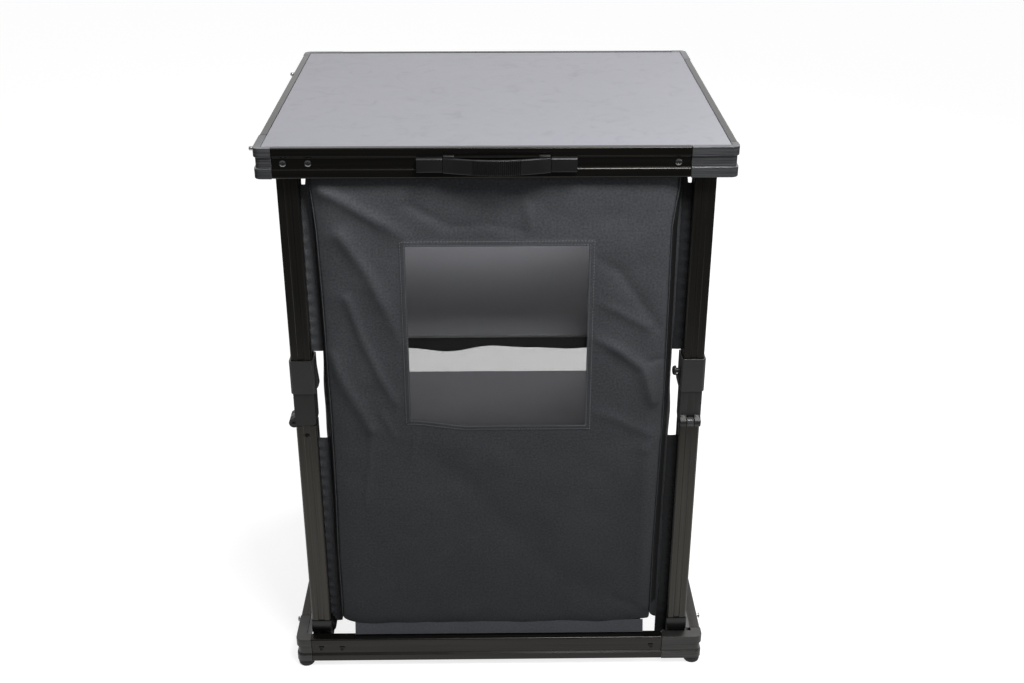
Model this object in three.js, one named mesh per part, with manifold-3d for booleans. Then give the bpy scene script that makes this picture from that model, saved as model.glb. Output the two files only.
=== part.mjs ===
// A folding camp kitchen organizer: two aluminium frames with moulded corners, four folding legs
// between them, a laminate worktop on the upper frame and a fabric cupboard hung inside.
// Millimetres, +Z up, origin at the middle of the bounding box's bottom face.
// "Front" is the side with the carry handle; the cupboard opens to the rear.
import * as THREE from "three";
import { mergeVertices } from "three/addons/utils/BufferGeometryUtils.js";
import Module from "manifold-3d";

const wasm = await Module();
wasm.setup();

// Overall sizes
const width = 600;
const depth = 512;
const height = 800;

// Clearances
const fit = 0.3; // running gap between two pieces
const hingeFit = 0.5; // gap round a hinge barrel
const overrun = 3; // how far a cutting shape runs past what it cuts

// Rail section: u runs inwards from the outer face, v from the lip edge
const railHeight = 39.5;
const railDepth = 15;
const railWall = 1.6;
const lipBand = 10.6;
const stepHeight = 2.7;
const recessDepth = 3;
const beadHeight = 13.2;
const lowerRadius = 2.5;
const lipRadius = 1;
const flangeWidth = 9;

// Worktop
const boardThickness = 5;
const boardDrop = 0.6;

// Corner castings
const shortLeg = 22;
const longLeg = 59;
const castingProud = 0.6;
const castingWaist = 1.6;
const castingRadius = 9;
const spigotLength = 14;
const spigotDepth = 7;
const spigotHeight = 26;
const spigotFit = 0.4;

// Feet
const footHeight = 10;
const footRadius = 11;
const footTipRadius = 9.5;
const footChamfer = 1.5;
const footInset = 12;

// Legs
const legWidth = 28;
const legWall = 1.8;
const legChamfer = 2;
const grooveWidth = 9;
const grooveDepth = 0.8;
const legInsetX = 37; // leg centre from the frame's left or right face
const legInsetY = 32; // leg centre from the frame's front or rear face
const pivotDrop = 23; // leg pivot from the frame's lip edge
const pivotRadius = 3;
const pivotReach = 0.8; // pin past the rail's inner wall
const pivotHeadRadius = 5;
const pivotHeadLength = 3.5;
const spacerRadius = 6.5;

// Elbow hinge
const barrelRadius = 6.8;
const elbowPinRadius = 2.5;
const middleKnuckle = 9.4;
const webLength = 22;
const webSetBack = 2; // web face short of the pin, on the folding side
const knuckleCap = 4; // plate on the lower tube's end
const plugLength = 20;
const housingHeight = 46;

// Lock sleeve and release knob
const sleeveWidth = 33;
const sleeveHeight = 49;
const sleeveChamfer = 3;
const sleeveFit = 0.4;
const sleeveTravel = 22;
const knobRadius = 6.75;
const knobThickness = 5.4;
const knobEdge = 1.4;
const knobTravel = 4;
const knobStemRadius = 3.5;
const slotMargin = 0.9;

// Carry handle
const handleSpan = 198;
const handleEndLength = 32;
const handleEndHeight = 18.5;
const handleEndThickness = 9.6;
const handleEndWall = 1.5;
const handleDrop = 20; // handle centre below the lip edge
const gripHeight = 19;
const gripThickness = 4;
const gripBow = 19;
const gripRibs = 24;
const gripRibSpan = 60;
const gripRibDepth = 0.7;
const gripRibShares = [[0.3, 0], [0.2, 1], [-0.2, 1], [-0.3, 0]]; // share of the pitch, and raised or not
const tongueLength = 15;
const tongueThickness = 2.4;
const tongueHeight = 13;
const handleRibDepth = 2.6;
const handleRibHeight = 11;

// Pegs and studs
const fastenerDrop = 19.8;
const shankRadius = 2;
const pegRadius = 3;
const pegReach = 16;
const pegEdge = 1;
const pegInset = 66; // from the frame's front and rear faces
const studRadius = 2.5;
const studReach = 8;
const studHeadRadius = 4;
const studHeadThickness = 2;
const studInset = 76; // from the frame's front face

// Fabric cupboard
const stripReach = 20; // cloth strip between the body and each leg
const clothThickness = 2;
const panelGap = 12.5; // near panel's lower edge above the base rail
const panelCornerRadius = 26;
const windowHalfWidth = 118;
const windowDrop = 134; // window's upper edge below the lip edge of the top frame
const windowHeight = 252;
const windowLap = 7;
const meshThickness = 0.8;
const windowFlat = 22; // cloth lies flat this far round the window
const sideBulge = 4.5;
const flapThickness = 1.6;
const flapPucker = 2.2;
const flapPuckerPitch = 42;
const foldRise = 4.5;
const foldEdgeShare = 0.3; // how much of a fold is left at the panel's edges
const flapOffset = 9; // strip from the leg's centre line, towards the middle of the depth
const flapSleeveGap = 6.7; // upper strip's lower end above the lock sleeve
const flapTopDrop = 58; // upper strip's upper end below the lip edge of the top frame
const flapBaseGap = 9.5; // lower strip's lower end above the base rail
const flapElbowGap = 32; // lower strip's upper end below the elbow
const floorInset = 16; // floor cloth's side edges from the body's sides
const floorThickness = 1.6;
const floorSag = 5;
const rollRadiusY = 16.5;
const rollRadiusZ = 18.5;
const rollTieInset = 112;
const rollTieWidth = 13;
const rollPinchShare = 0.2;
const rollLobeShare = 0.05;
const rollLobes = 3;

// Shelves
const shelfThickness = 4;
const shelfDepth = 386;
const upperShelfTop = 517;
const lowerShelfTop = 264;

// Worked out from the sizes above
const pivotLow = footHeight + pivotDrop;
const pivotHigh = height - pivotDrop;
const elbowHeight = (pivotLow + pivotHigh) / 2;
const elbowOffset = railHeight - pivotDrop; // puts the folded legs level, back to back
const legHalf = legWidth / 2;
const legInnerFace = width / 2 - legInsetX - legHalf;
const sleeveHalf = sleeveWidth / 2;
const sleeveBottom = elbowHeight + housingHeight + fit;
const knobHeight = sleeveBottom + sleeveHeight / 2;
const ledgeDrop = boardDrop + boardThickness + fit;
const baseTop = footHeight + railHeight;
const topBottom = height - railHeight;
const innerHalfDepth = depth / 2 - railDepth;
const shankEnd = recessDepth + railWall + fit;
const bodyHalfWidth = legInnerFace - stripReach;
const floorHalfWidth = bodyHalfWidth - floorInset;
const panelBottom = baseTop + panelGap;
const panelTop = topBottom - fit;
const windowTop = height - windowDrop;
const windowBottom = windowTop - windowHeight;
const upperFlap = [sleeveBottom + sleeveHeight + flapSleeveGap, height - flapTopDrop];
const lowerFlap = [baseTop + flapBaseGap, elbowHeight - flapElbowGap];

// Colours and finishes
const finish = (color, roughness, metalness) =>
  new THREE.MeshStandardMaterial({ color, roughness, metalness, flatShading: true });
const railFinish = finish(0x1b1b1a, 0.38, 0.7);
const castingFinish = finish(0x3c3c3e, 0.55, 0.1);
const boardFinish = finish(0xaaaab2, 0.4, 0.0);
const tubeFinish = finish(0x24221f, 0.4, 0.7);
const hingeFinish = finish(0x2c2c2b, 0.5, 0.2);
const rubberFinish = finish(0x232222, 0.8, 0.0);
const steelFinish = finish(0xc8c8c8, 0.25, 1.0);
const handleFinish = finish(0x1d1d1d, 0.6, 0.0);
const clothFinish = finish(0x3a3c40, 0.9, 0.0);
const meshFinish = finish(0x2b2b2d, 0.85, 0.0);
const paleClothFinish = finish(0x55565a, 0.9, 0.0);

// A closed three.js geometry as a solid that can be joined and cut.
function solidOf(geometry) {
  const bare = geometry.index ? geometry.toNonIndexed() : geometry.clone();
  bare.deleteAttribute("normal");
  bare.deleteAttribute("uv");
  const merged = mergeVertices(bare, 1e-4);
  return new wasm.Manifold(
    new wasm.Mesh({
      numProp: 3,
      vertProperties: merged.attributes.position.array,
      triVerts: new Uint32Array(merged.index.array),
    }),
  );
}

// A named mesh from a solid.
function meshOf(name, solid, material) {
  const { vertProperties, triVerts } = solid.getMesh();
  const geometry = new THREE.BufferGeometry();
  geometry.setAttribute("position", new THREE.BufferAttribute(new Float32Array(vertProperties), 3));
  geometry.setIndex(new THREE.BufferAttribute(new Uint32Array(triVerts), 1));
  geometry.computeVertexNormals();
  const mesh = new THREE.Mesh(geometry, material);
  mesh.name = name;
  return mesh;
}

// Points of an arc about a centre, from one angle to another, in degrees.
function arc([a, b], radius, from, to, steps) {
  return Array.from({ length: steps + 1 }, (_, i) => {
    const angle = THREE.MathUtils.degToRad(from + ((to - from) * i) / steps);
    return [a + radius * Math.cos(angle), b + radius * Math.sin(angle)];
  });
}

// An outline carried along an axis: (y, z) along x, (z, x) along y, (x, y) along z.
const axes = {
  x: [new THREE.Vector3(0, 1, 0), new THREE.Vector3(0, 0, 1), new THREE.Vector3(1, 0, 0)],
  y: [new THREE.Vector3(0, 0, 1), new THREE.Vector3(1, 0, 0), new THREE.Vector3(0, 1, 0)],
  z: [new THREE.Vector3(1, 0, 0), new THREE.Vector3(0, 1, 0), new THREE.Vector3(0, 0, 1)],
};

function prism(axis, outline, from, to, hole) {
  const shape = new THREE.Shape(outline.map(([a, b]) => new THREE.Vector2(a, b)));
  if (hole) shape.holes.push(new THREE.Path(hole.map(([a, b]) => new THREE.Vector2(a, b))));
  const geometry = new THREE.ExtrudeGeometry(shape, { depth: to - from, bevelEnabled: false });
  const [first, second, along] = axes[axis];
  geometry.applyMatrix4(new THREE.Matrix4().makeBasis(first, second, along));
  geometry.translate(along.x * from, along.y * from, along.z * from);
  return solidOf(geometry);
}

function box([x0, y0, z0], [x1, y1, z1]) {
  return prism("z", [[x0, y0], [x1, y0], [x1, y1], [x0, y1]], z0, z1);
}

// A round bar along an axis; the centre is in the axis's outline coordinates.
function bar(axis, centre, radius, from, to, sides = 12) {
  return prism(axis, arc(centre, radius, 0, 360, sides).slice(0, -1), from, to);
}

// A square outline with cut corners.
function squareOutline(half, cut) {
  const near = half - cut;
  return [
    [-near, -half], [near, -half], [half, -near], [half, near],
    [near, half], [-near, half], [-half, near], [-half, -near],
  ];
}

// The leg tube's outline: cut corners and a shallow groove down the middle of each face.
function tubeOutline() {
  const near = legHalf - legChamfer;
  const groove = grooveWidth / 2;
  const floor = legHalf - grooveDepth;
  const face = [
    [-near, -legHalf], [-groove, -legHalf], [-groove + grooveDepth, -floor],
    [groove - grooveDepth, -floor], [groove, -legHalf], [near, -legHalf],
  ];
  const turn = ([x, y]) => [-y, x];
  const second = face.map(turn);
  const third = second.map(turn);
  return [...face, ...second, ...third, ...third.map(turn)];
}

// A body turned about an axis, from [radius, distance] points that start and end on the axis.
function turned(axis, profile, sides = 16) {
  const geometry = new THREE.LatheGeometry(profile.map(([r, h]) => new THREE.Vector2(r, h)), sides);
  if (axis === "x") geometry.rotateZ(-Math.PI / 2);
  if (axis === "z") geometry.rotateX(Math.PI / 2);
  return solidOf(geometry);
}

// A sheet of cloth on a grid: place(u, v) gives a point of its first face, and offset(u, v) the
// step to its second face. Cells that isOpen names are left out, and every free edge is closed.
function sheet(us, vs, place, offset, isOpen = () => false) {
  const columns = us.length;
  const points = [];
  for (const back of [0, 1]) {
    for (const v of vs) {
      for (const u of us) {
        const point = place(u, v);
        const step = offset(u, v);
        points.push(...point.map((value, i) => value + back * step[i]));
      }
    }
  }
  const index = (i, j, back) => back * columns * vs.length + j * columns + i;
  const solidCell = (i, j) =>
    i >= 0 && j >= 0 && i < columns - 1 && j < vs.length - 1
    && !isOpen((us[i] + us[i + 1]) / 2, (vs[j] + vs[j + 1]) / 2);
  const triangles = [];
  const quad = (a, b, c, d) => triangles.push(a, b, c, a, c, d);
  for (let j = 0; j < vs.length - 1; j++) {
    for (let i = 0; i < columns - 1; i++) {
      if (!solidCell(i, j)) continue;
      const corners = [[i, j], [i + 1, j], [i + 1, j + 1], [i, j + 1]];
      const front = corners.map(([a, b]) => index(a, b, 0));
      const back = corners.map(([a, b]) => index(a, b, 1));
      quad(...front);
      quad(...back.slice().reverse());
      const neighbours = [[i, j - 1], [i + 1, j], [i, j + 1], [i - 1, j]];
      neighbours.forEach(([a, b], side) => {
        if (solidCell(a, b)) return;
        const next = (side + 1) % 4;
        quad(front[side], back[side], back[next], front[next]);
      });
    }
  }
  const geometry = new THREE.BufferGeometry();
  geometry.setAttribute("position", new THREE.BufferAttribute(new Float32Array(points), 3));
  geometry.setIndex(triangles);
  return outwards(geometry);
}

// The same closed surface with its faces pointing out.
function outwards(geometry) {
  const solid = solidOf(geometry);
  if (solid.volume() >= 0) return solid;
  const index = geometry.index.array;
  for (let i = 0; i < index.length; i += 3) {
    [index[i + 1], index[i + 2]] = [index[i + 2], index[i + 1]];
  }
  return solidOf(geometry);
}

// Evenly spaced values from one end to the other, both included.
function spread(from, to, count) {
  return Array.from({ length: count + 1 }, (_, i) => from + ((to - from) * i) / count);
}

// Joined lists of values, without the repeated ends.
const chain = (...lists) => lists.flatMap((list, i) => (i ? list.slice(1) : list));

// Smooth step from 0 to 1.
const smooth = (value) => {
  const share = Math.min(1, Math.max(0, value));
  return share * share * (3 - 2 * share);
};

// Rail section in (u, v), and the hollow inside it.
function railOutline() {
  const stepEnd = lipBand + stepHeight;
  const beadStart = railHeight - beadHeight;
  return [
    [flangeWidth, 0], [lipRadius, 0], [0, lipRadius], [0, lipBand], [recessDepth, stepEnd],
    ...arc([recessDepth, beadStart + recessDepth], recessDepth, -90, -180, 4),
    ...arc([lowerRadius, railHeight - lowerRadius], lowerRadius, 180, 90, 3),
    [railDepth, railHeight], [railDepth, ledgeDrop], [flangeWidth, ledgeDrop],
  ];
}

function railHollow() {
  const inner = railDepth - railWall;
  const recess = recessDepth + railWall;
  const low = railHeight - railWall;
  const shelf = ledgeDrop + railWall;
  const flange = flangeWidth - railWall;
  return [
    [railWall, railWall], [flange, railWall], [flange, shelf], [inner, shelf],
    [inner, low], [recess, low], [recess, lipBand + stepHeight], [railWall, lipBand],
  ];
}

// One rail, along +X from its corner; up is +1 for the base frame, -1 for the top frame.
function railSolid(length, up, pivotAlong, holes) {
  const place = ([u, v]) => [u, up * v];
  const [start, end] = [shortLeg + fit, length - longLeg - fit];
  const inside = railDepth - railWall - overrun;
  const pivot = [up * pivotDrop, pivotAlong];
  let rail = prism("x", railOutline().map(place), start, end, railHollow().map(place))
    .subtract(bar("y", pivot, pivotRadius + fit, inside, railDepth + overrun));
  const boreEnd = recessDepth + railWall + overrun;
  for (const along of holes) {
    rail = rail.subtract(bar("y", [up * fastenerDrop, along], shankRadius + fit, -overrun, boreEnd));
  }
  return rail;
}

// L-shaped outline of a corner casting, its outer faces standing out by proud.
function castingOutline(proud) {
  return [
    ...arc([castingRadius, castingRadius], castingRadius + proud, 180, 270, 5),
    [shortLeg, -proud], [shortLeg, railDepth], [railDepth, railDepth],
    [railDepth, longLeg], [-proud, longLeg],
  ];
}

function castingSolid(up) {
  const slab = (from, to, proud) => {
    const [low, high] = up > 0 ? [from, to] : [-to, -from];
    return prism("z", castingOutline(proud), low, high);
  };
  const waistStart = lipBand + stepHeight / 2;
  const beadStart = railHeight - beadHeight;
  let casting = slab(0, waistStart, castingProud)
    .add(slab(waistStart, beadStart, -castingWaist))
    .add(slab(beadStart, railHeight, castingProud));
  const zRange = (from, to) => (up > 0 ? [from, to] : [-to, -from]);
  const [pocketLow, pocketHigh] = zRange(-overrun, ledgeDrop);
  const pocketEnd = longLeg + overrun;
  casting = casting.subtract(
    box([flangeWidth, flangeWidth, pocketLow], [pocketEnd, pocketEnd, pocketHigh]),
  );
  const nearFace = recessDepth + railWall + spigotFit;
  const farFace = nearFace + spigotDepth;
  const middle = (ledgeDrop + railHeight) / 2;
  const [low, high] = zRange(middle - spigotHeight / 2, middle + spigotHeight / 2);
  return casting
    .add(box([shortLeg - overrun, nearFace, low], [shortLeg + spigotLength, farFace, high]))
    .add(box([nearFace, longLeg - overrun, low], [farFace, longLeg + spigotLength, high]));
}

function footSolid() {
  return turned("z", [
    [0, 0], [footTipRadius - footChamfer, 0], [footTipRadius, footChamfer],
    [footRadius, footHeight / 2], [footRadius, footHeight - fit], [0, footHeight - fit],
  ]);
}

// A leg tube between a pivot and the elbow end, with a round end about the pivot, the pivot pin
// through it, its head on the inner side and a spacer towards the rail.
function legTube(pivotZ, endZ, railGap) {
  const low = Math.min(pivotZ - legHalf, endZ);
  const high = Math.max(pivotZ + legHalf, endZ);
  const hollowHalf = legHalf - legWall;
  const hollow = squareOutline(hollowHalf, legChamfer / 2);
  const tube = prism("z", tubeOutline(), low, high, hollow);
  const upwards = endZ > pivotZ;
  const roundEnd = upwards
    ? arc([pivotZ, 0], legHalf + fit, 90, 270, 6)
    : arc([pivotZ, 0], legHalf + fit, 270, 450, 6);
  const side = legHalf + fit;
  const past = upwards ? endZ + overrun : endZ - overrun;
  const farSide = upwards ? -side : side;
  const outline = [...roundEnd, [past, farSide], [past, -farSide]];
  const trimmed = tube.intersect(prism("y", outline, -legHalf - overrun, legHalf + overrun));
  const railFace = -legHalf - railGap;
  return trimmed
    .add(bar("y", [pivotZ, 0], pivotRadius, railFace - railWall - pivotReach, legHalf + pivotHeadLength))
    .add(bar("y", [pivotZ, 0], spacerRadius, railFace + fit, -legHalf + legWall))
    .add(bar("y", [pivotZ, 0], pivotHeadRadius, legHalf - legWall, legHalf + pivotHeadLength, 6));
}

// One half of the elbow hinge: a cap plate or housing on the tube's end with a plug inside the
// tube, and its knuckles on the outer side. Up is -1 for the lower half and +1 for the upper.
function hingeHalf(up, capLength) {
  const z = (distance) => elbowHeight + up * distance;
  const range = (from, to) => (up > 0 ? [z(from), z(to)] : [z(to), z(from)]);
  const slab = (half, cut, from, to) => prism("z", squareOutline(half, cut), ...range(from, to));
  const plugHalf = legHalf - legWall - fit;
  let solid = slab(legHalf, legChamfer, fit / 2, capLength)
    .add(slab(plugHalf, legChamfer / 2, capLength - fit, capLength + plugLength));
  const centre = [elbowHeight, -elbowOffset];
  const middle = middleKnuckle / 2;
  const pastSide = legHalf + overrun;
  const spans = up > 0 ? [[-legHalf, -middle - fit], [middle + fit, legHalf]] : [[-middle, middle]];
  const others = up > 0 ? [[-middle - fit, middle + fit]] : [[-pastSide, -middle], [middle, pastSide]];
  for (const [from, to] of others) {
    solid = solid.subtract(bar("y", centre, barrelRadius + hingeFit, from, to));
  }
  const webFace = -elbowOffset - webSetBack;
  const tubeFace = -legHalf - fit;
  for (const [from, to] of spans) {
    const [low, high] = range(0, webLength);
    const [capLow, capHigh] = range(fit / 2, capLength);
    solid = solid
      .add(bar("y", centre, barrelRadius, from, to))
      .add(box([webFace, from, low], [tubeFace, to, high]))
      .add(box([webFace, from, capLow], [-legHalf + legChamfer + fit, to, capHigh]));
  }
  if (up > 0) return solid.add(bar("y", centre, elbowPinRadius, -legHalf, legHalf));
  return solid.subtract(bar("y", centre, elbowPinRadius + fit, -pastSide, pastSide));
}

// The lower tube is notched where the hinge barrel passes its end.
function lowerTube(railGap) {
  const side = legHalf + overrun;
  const notch = bar("y", [elbowHeight, -elbowOffset], barrelRadius + hingeFit, -side, side);
  return legTube(pivotLow, elbowHeight - knuckleCap - fit, railGap).subtract(notch);
}

function upperTube(railGap) {
  const tube = legTube(pivotHigh, elbowHeight + housingHeight + fit, railGap);
  const half = knobStemRadius + slotMargin;
  const [low, high] = [knobHeight - half, knobHeight + sleeveTravel + half];
  const outline = [[low, -half], [high, -half], [high, half], [low, half]];
  return tube.subtract(prism("y", outline, legHalf - legWall - overrun, legHalf + overrun));
}

function sleeveSolid() {
  const outline = squareOutline(sleeveHalf, sleeveChamfer);
  const hollow = squareOutline(legHalf + sleeveFit, legChamfer);
  return prism("z", outline, sleeveBottom, sleeveBottom + sleeveHeight, hollow)
    .subtract(bar("y", [knobHeight, 0], knobStemRadius + fit, 0, sleeveHalf + overrun));
}

function knobSolid() {
  const stemEnd = legHalf + sleeveFit + fit;
  const headBack = sleeveHalf + knobTravel + fit;
  const headFront = headBack + knobThickness;
  return turned("y", [
    [0, stemEnd], [knobStemRadius, stemEnd], [knobStemRadius, headBack],
    [knobRadius - knobEdge, headBack], [knobRadius, headBack + knobEdge],
    [knobRadius, headFront - knobEdge], [knobRadius - knobEdge, headFront], [0, headFront],
  ]).translate([0, 0, knobHeight]);
}

// Handle pieces, in the front side's frame: x from the handle's middle, y inwards, z from the lip.
function handleEndSolid(side) {
  const outer = (side * handleSpan) / 2;
  const inner = side * (handleSpan / 2 - handleEndLength);
  const [low, high] = [Math.min(outer, inner), Math.max(outer, inner)];
  const cut = handleEndWall;
  const face = -fit;
  const front = face - handleEndThickness;
  const lowEdge = -handleDrop - handleEndHeight / 2;
  const highEdge = -handleDrop + handleEndHeight / 2;
  const outline = [
    [face, lowEdge], [front + cut, lowEdge], [front, lowEdge + cut],
    [front, highEdge - cut], [front + cut, highEdge], [face, highEdge],
  ];
  const ribHalf = handleRibHeight / 2;
  const cavityHalf = tongueHeight / 2 + 2 * fit;
  const cavityEnd = side * (handleSpan / 2 - handleEndLength + tongueLength + 2 * fit);
  const mouth = inner - side * overrun;
  return prism("x", outline, low, high)
    .add(box([low, face - fit, -fastenerDrop - ribHalf], [high, handleRibDepth, -fastenerDrop + ribHalf]))
    .subtract(box(
      [Math.min(mouth, cavityEnd), front + handleEndWall, -handleDrop - cavityHalf],
      [Math.max(mouth, cavityEnd), face - handleEndWall, -handleDrop + cavityHalf],
    ));
}

// The strap: a band bowed outwards by a parabola, with fine upright ribs over its middle.
function gripSolid() {
  const half = handleSpan / 2 - handleEndLength;
  const seat = -fit - handleEndWall - fit;
  const inner = (x) => seat - gripBow * (1 - (x / half) ** 2);
  const innerLine = spread(-half, half, 20).map((x) => [x, inner(x)]);
  const ribPitch = gripRibSpan / gripRibs;
  const outerLine = [];
  const thickness = (x) => {
    const share = smooth((half - Math.abs(x)) / (half - gripRibSpan / 2));
    return tongueThickness + (gripThickness - tongueThickness) * share;
  };
  outerLine.push(...spread(half, gripRibSpan / 2, 5).map((x) => [x, inner(x) - thickness(x)]));
  for (let i = gripRibs - 1; i >= 0; i--) {
    const middle = -gripRibSpan / 2 + (i + 0.5) * ribPitch;
    for (const [ribShare, raised] of gripRibShares) {
      const x = middle + ribShare * ribPitch;
      outerLine.push([x, inner(x) - gripThickness - raised * gripRibDepth]);
    }
  }
  outerLine.push(...spread(-gripRibSpan / 2, -half, 5).map((x) => [x, inner(x) - thickness(x)]));
  const middle = -handleDrop;
  let grip = prism("z", [...innerLine, ...outerLine], middle - gripHeight / 2, middle + gripHeight / 2);
  for (const side of [-1, 1]) {
    const [from, to] = [side * (half - overrun), side * (half + tongueLength)];
    grip = grip.add(box(
      [Math.min(from, to), seat - tongueThickness, middle - tongueHeight / 2],
      [Math.max(from, to), seat, middle + tongueHeight / 2],
    ));
  }
  for (const side of [-1, 1]) {
    const [from, to] = [side * (half - fit), side * (half + tongueLength + overrun)];
    const [left, right] = [Math.min(from, to), Math.max(from, to)];
    const far = seat - gripBow;
    grip = grip
      .subtract(box([left, far, middle + tongueHeight / 2], [right, 0, middle + gripHeight]))
      .subtract(box([left, far, middle - gripHeight], [right, 0, middle - tongueHeight / 2]));
  }
  return grip;
}

// A peg along -Y of its side's frame: a shank through the rail's outer wall and a plain round end.
function pegSolid() {
  const face = recessDepth - fit;
  return turned("y", [
    [0, -pegReach], [pegRadius - pegEdge, -pegReach], [pegRadius, -pegReach + pegEdge],
    [pegRadius, face], [shankRadius, face], [shankRadius, shankEnd], [0, shankEnd],
  ], 12);
}

function studSolid() {
  const face = recessDepth - fit;
  const neck = -studReach + studHeadThickness;
  return turned("y", [
    [0, -studReach], [studHeadRadius, -studReach], [studHeadRadius, neck], [studRadius, neck],
    [studRadius, face], [shankRadius, face], [shankRadius, shankEnd], [0, shankEnd],
  ], 12);
}

// Main folds of the near panel, as shares of its half width and height: two ends, width and rise.
const foldShares = [
  [-0.95, 0.99, -0.3, 0.86, 0.05, 0.9],
  [-0.82, 0.88, -0.64, 0.6, 0.035, 0.8],
  [-0.72, 0.7, -0.5, 0.48, 0.03, 1.0],
  [-0.95, 0.62, -0.66, 0.4, 0.035, 0.8],
  [0.5, 0.67, 0.9, 0.57, 0.035, 1.0],
  [0.52, 0.5, 0.86, 0.54, 0.03, 0.6],
  [0.9, 0.6, 0.8, 0.4, 0.03, 0.7],
  [-0.4, 0.38, 0.3, 0.1, 0.07, 0.7],
  [-0.9, 0.04, -0.4, 0.24, 0.06, 0.6],
];

// How far the near panel's cloth stands forward of its plane.
function panelRelief(x, z) {
  const tall = panelTop - panelBottom;
  let relief = 0;
  for (const [x0, z0, x1, z1, spreadShare, rise] of foldShares) {
    const [ax, az] = [x0 * bodyHalfWidth, panelBottom + z0 * tall];
    const [bx, bz] = [x1 * bodyHalfWidth, panelBottom + z1 * tall];
    const length = (bx - ax) ** 2 + (bz - az) ** 2;
    const along = Math.min(1, Math.max(0, ((x - ax) * (bx - ax) + (z - az) * (bz - az)) / length));
    const away = Math.hypot(x - ax - along * (bx - ax), z - az - along * (bz - az));
    relief = Math.max(relief, foldRise * rise * Math.exp(-((away / (spreadShare * tall)) ** 2)));
  }
  const outX = Math.abs(x) - windowHalfWidth - windowLap;
  const outZ = Math.max(z - windowTop - windowLap, windowBottom - windowLap - z);
  const clear = smooth(Math.max(outX, outZ) / windowFlat);
  const edge = smooth((bodyHalfWidth - Math.abs(x)) / windowFlat) * smooth((panelTop - z) / windowFlat);
  return relief * clear * (foldEdgeShare + (1 - foldEdgeShare) * edge);
}

function nearPanelSolid() {
  const radius = panelCornerRadius;
  const bottomAt = (x) => {
    const into = Math.max(0, Math.abs(x) - (bodyHalfWidth - radius));
    return panelBottom + radius - Math.sqrt(Math.max(0, radius ** 2 - into ** 2));
  };
  const us = chain(
    spread(-bodyHalfWidth, -bodyHalfWidth + radius, 2),
    spread(-bodyHalfWidth + radius, -windowHalfWidth, 5),
    spread(-windowHalfWidth, windowHalfWidth, 6),
    spread(windowHalfWidth, bodyHalfWidth - radius, 5),
    spread(bodyHalfWidth - radius, bodyHalfWidth, 2),
  );
  const vs = chain(
    spread(panelBottom, windowBottom, 11),
    spread(windowBottom, windowTop, 7),
    spread(windowTop, panelTop, 4),
  );
  const place = (x, v) => {
    const below = Math.max(0, (windowBottom - v) / (windowBottom - panelBottom));
    const z = below ? windowBottom - below * (windowBottom - bottomAt(x)) : v;
    return [x, -innerHalfDepth - panelRelief(x, z), z];
  };
  const isOpen = (x, z) => Math.abs(x) < windowHalfWidth && z > windowBottom && z < windowTop;
  return sheet(us, vs, place, () => [0, -clothThickness, 0], isOpen);
}

function windowMeshSolid() {
  const half = windowHalfWidth + windowLap;
  const y = -innerHalfDepth + fit;
  return box([-half, y, windowBottom - windowLap], [half, y + meshThickness, windowTop + windowLap]);
}

// A side panel bellies out between the shelves that spread it, and carries the four strips of
// cloth that reach its two legs.
function sidePanelSolid(side) {
  const shelfMiddle = shelfThickness / 2;
  const [low, high] = [baseTop + fit, height - ledgeDrop];
  const levels = [low, lowerShelfTop - shelfMiddle, upperShelfTop - shelfMiddle, high];
  const half = innerHalfDepth - fit;
  const inner = bodyHalfWidth - clothThickness;
  const bulge = (y, z) => {
    const bay = z < levels[1] ? 0 : z < levels[2] ? 1 : 2;
    const share = (z - levels[bay]) / (levels[bay + 1] - levels[bay]);
    const across = 1 - (y / half) ** 4;
    return sideBulge * Math.sin(Math.PI * share) * across;
  };
  const place = (y, z) => [side * (inner + bulge(y, z)), y, z];
  const vs = chain(...[0, 1, 2].map((bay) => spread(levels[bay], levels[bay + 1], 4)));
  let panel = sheet(spread(-half, half, 8), vs, place, () => [side * clothThickness, 0, 0]);
  const legFace = legInnerFace - fit;
  const legY = depth / 2 - legInsetY - flapOffset;
  for (const end of [-1, 1]) {
    for (const [low, high] of [upperFlap, lowerFlap]) {
      const puckers = Math.round((high - low) / flapPuckerPitch);
      const strip = (x, z) => {
        const wave = Math.sin((2 * Math.PI * puckers * (z - low)) / (high - low));
        const out = (x - inner) / (legFace - inner);
        return [side * x, end * (legY + flapPucker * wave * out), z];
      };
      const columns = [inner + clothThickness / 4, (inner + legFace) / 2, legFace];
      const rows = spread(low, high, 2 * puckers);
      panel = panel.add(sheet(columns, rows, strip, () => [0, end * flapThickness, 0]));
    }
  }
  return panel;
}

function floorClothSolid() {
  const half = innerHalfDepth - fit;
  const place = (x, y) => {
    const dip = (1 - (x / floorHalfWidth) ** 2) * (1 - (y / half) ** 2);
    return [x, y, baseTop - floorSag * dip];
  };
  const columns = spread(-floorHalfWidth, floorHalfWidth, 8);
  return sheet(columns, spread(-half, half, 8), place, () => [0, 0, -floorThickness]);
}

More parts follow.
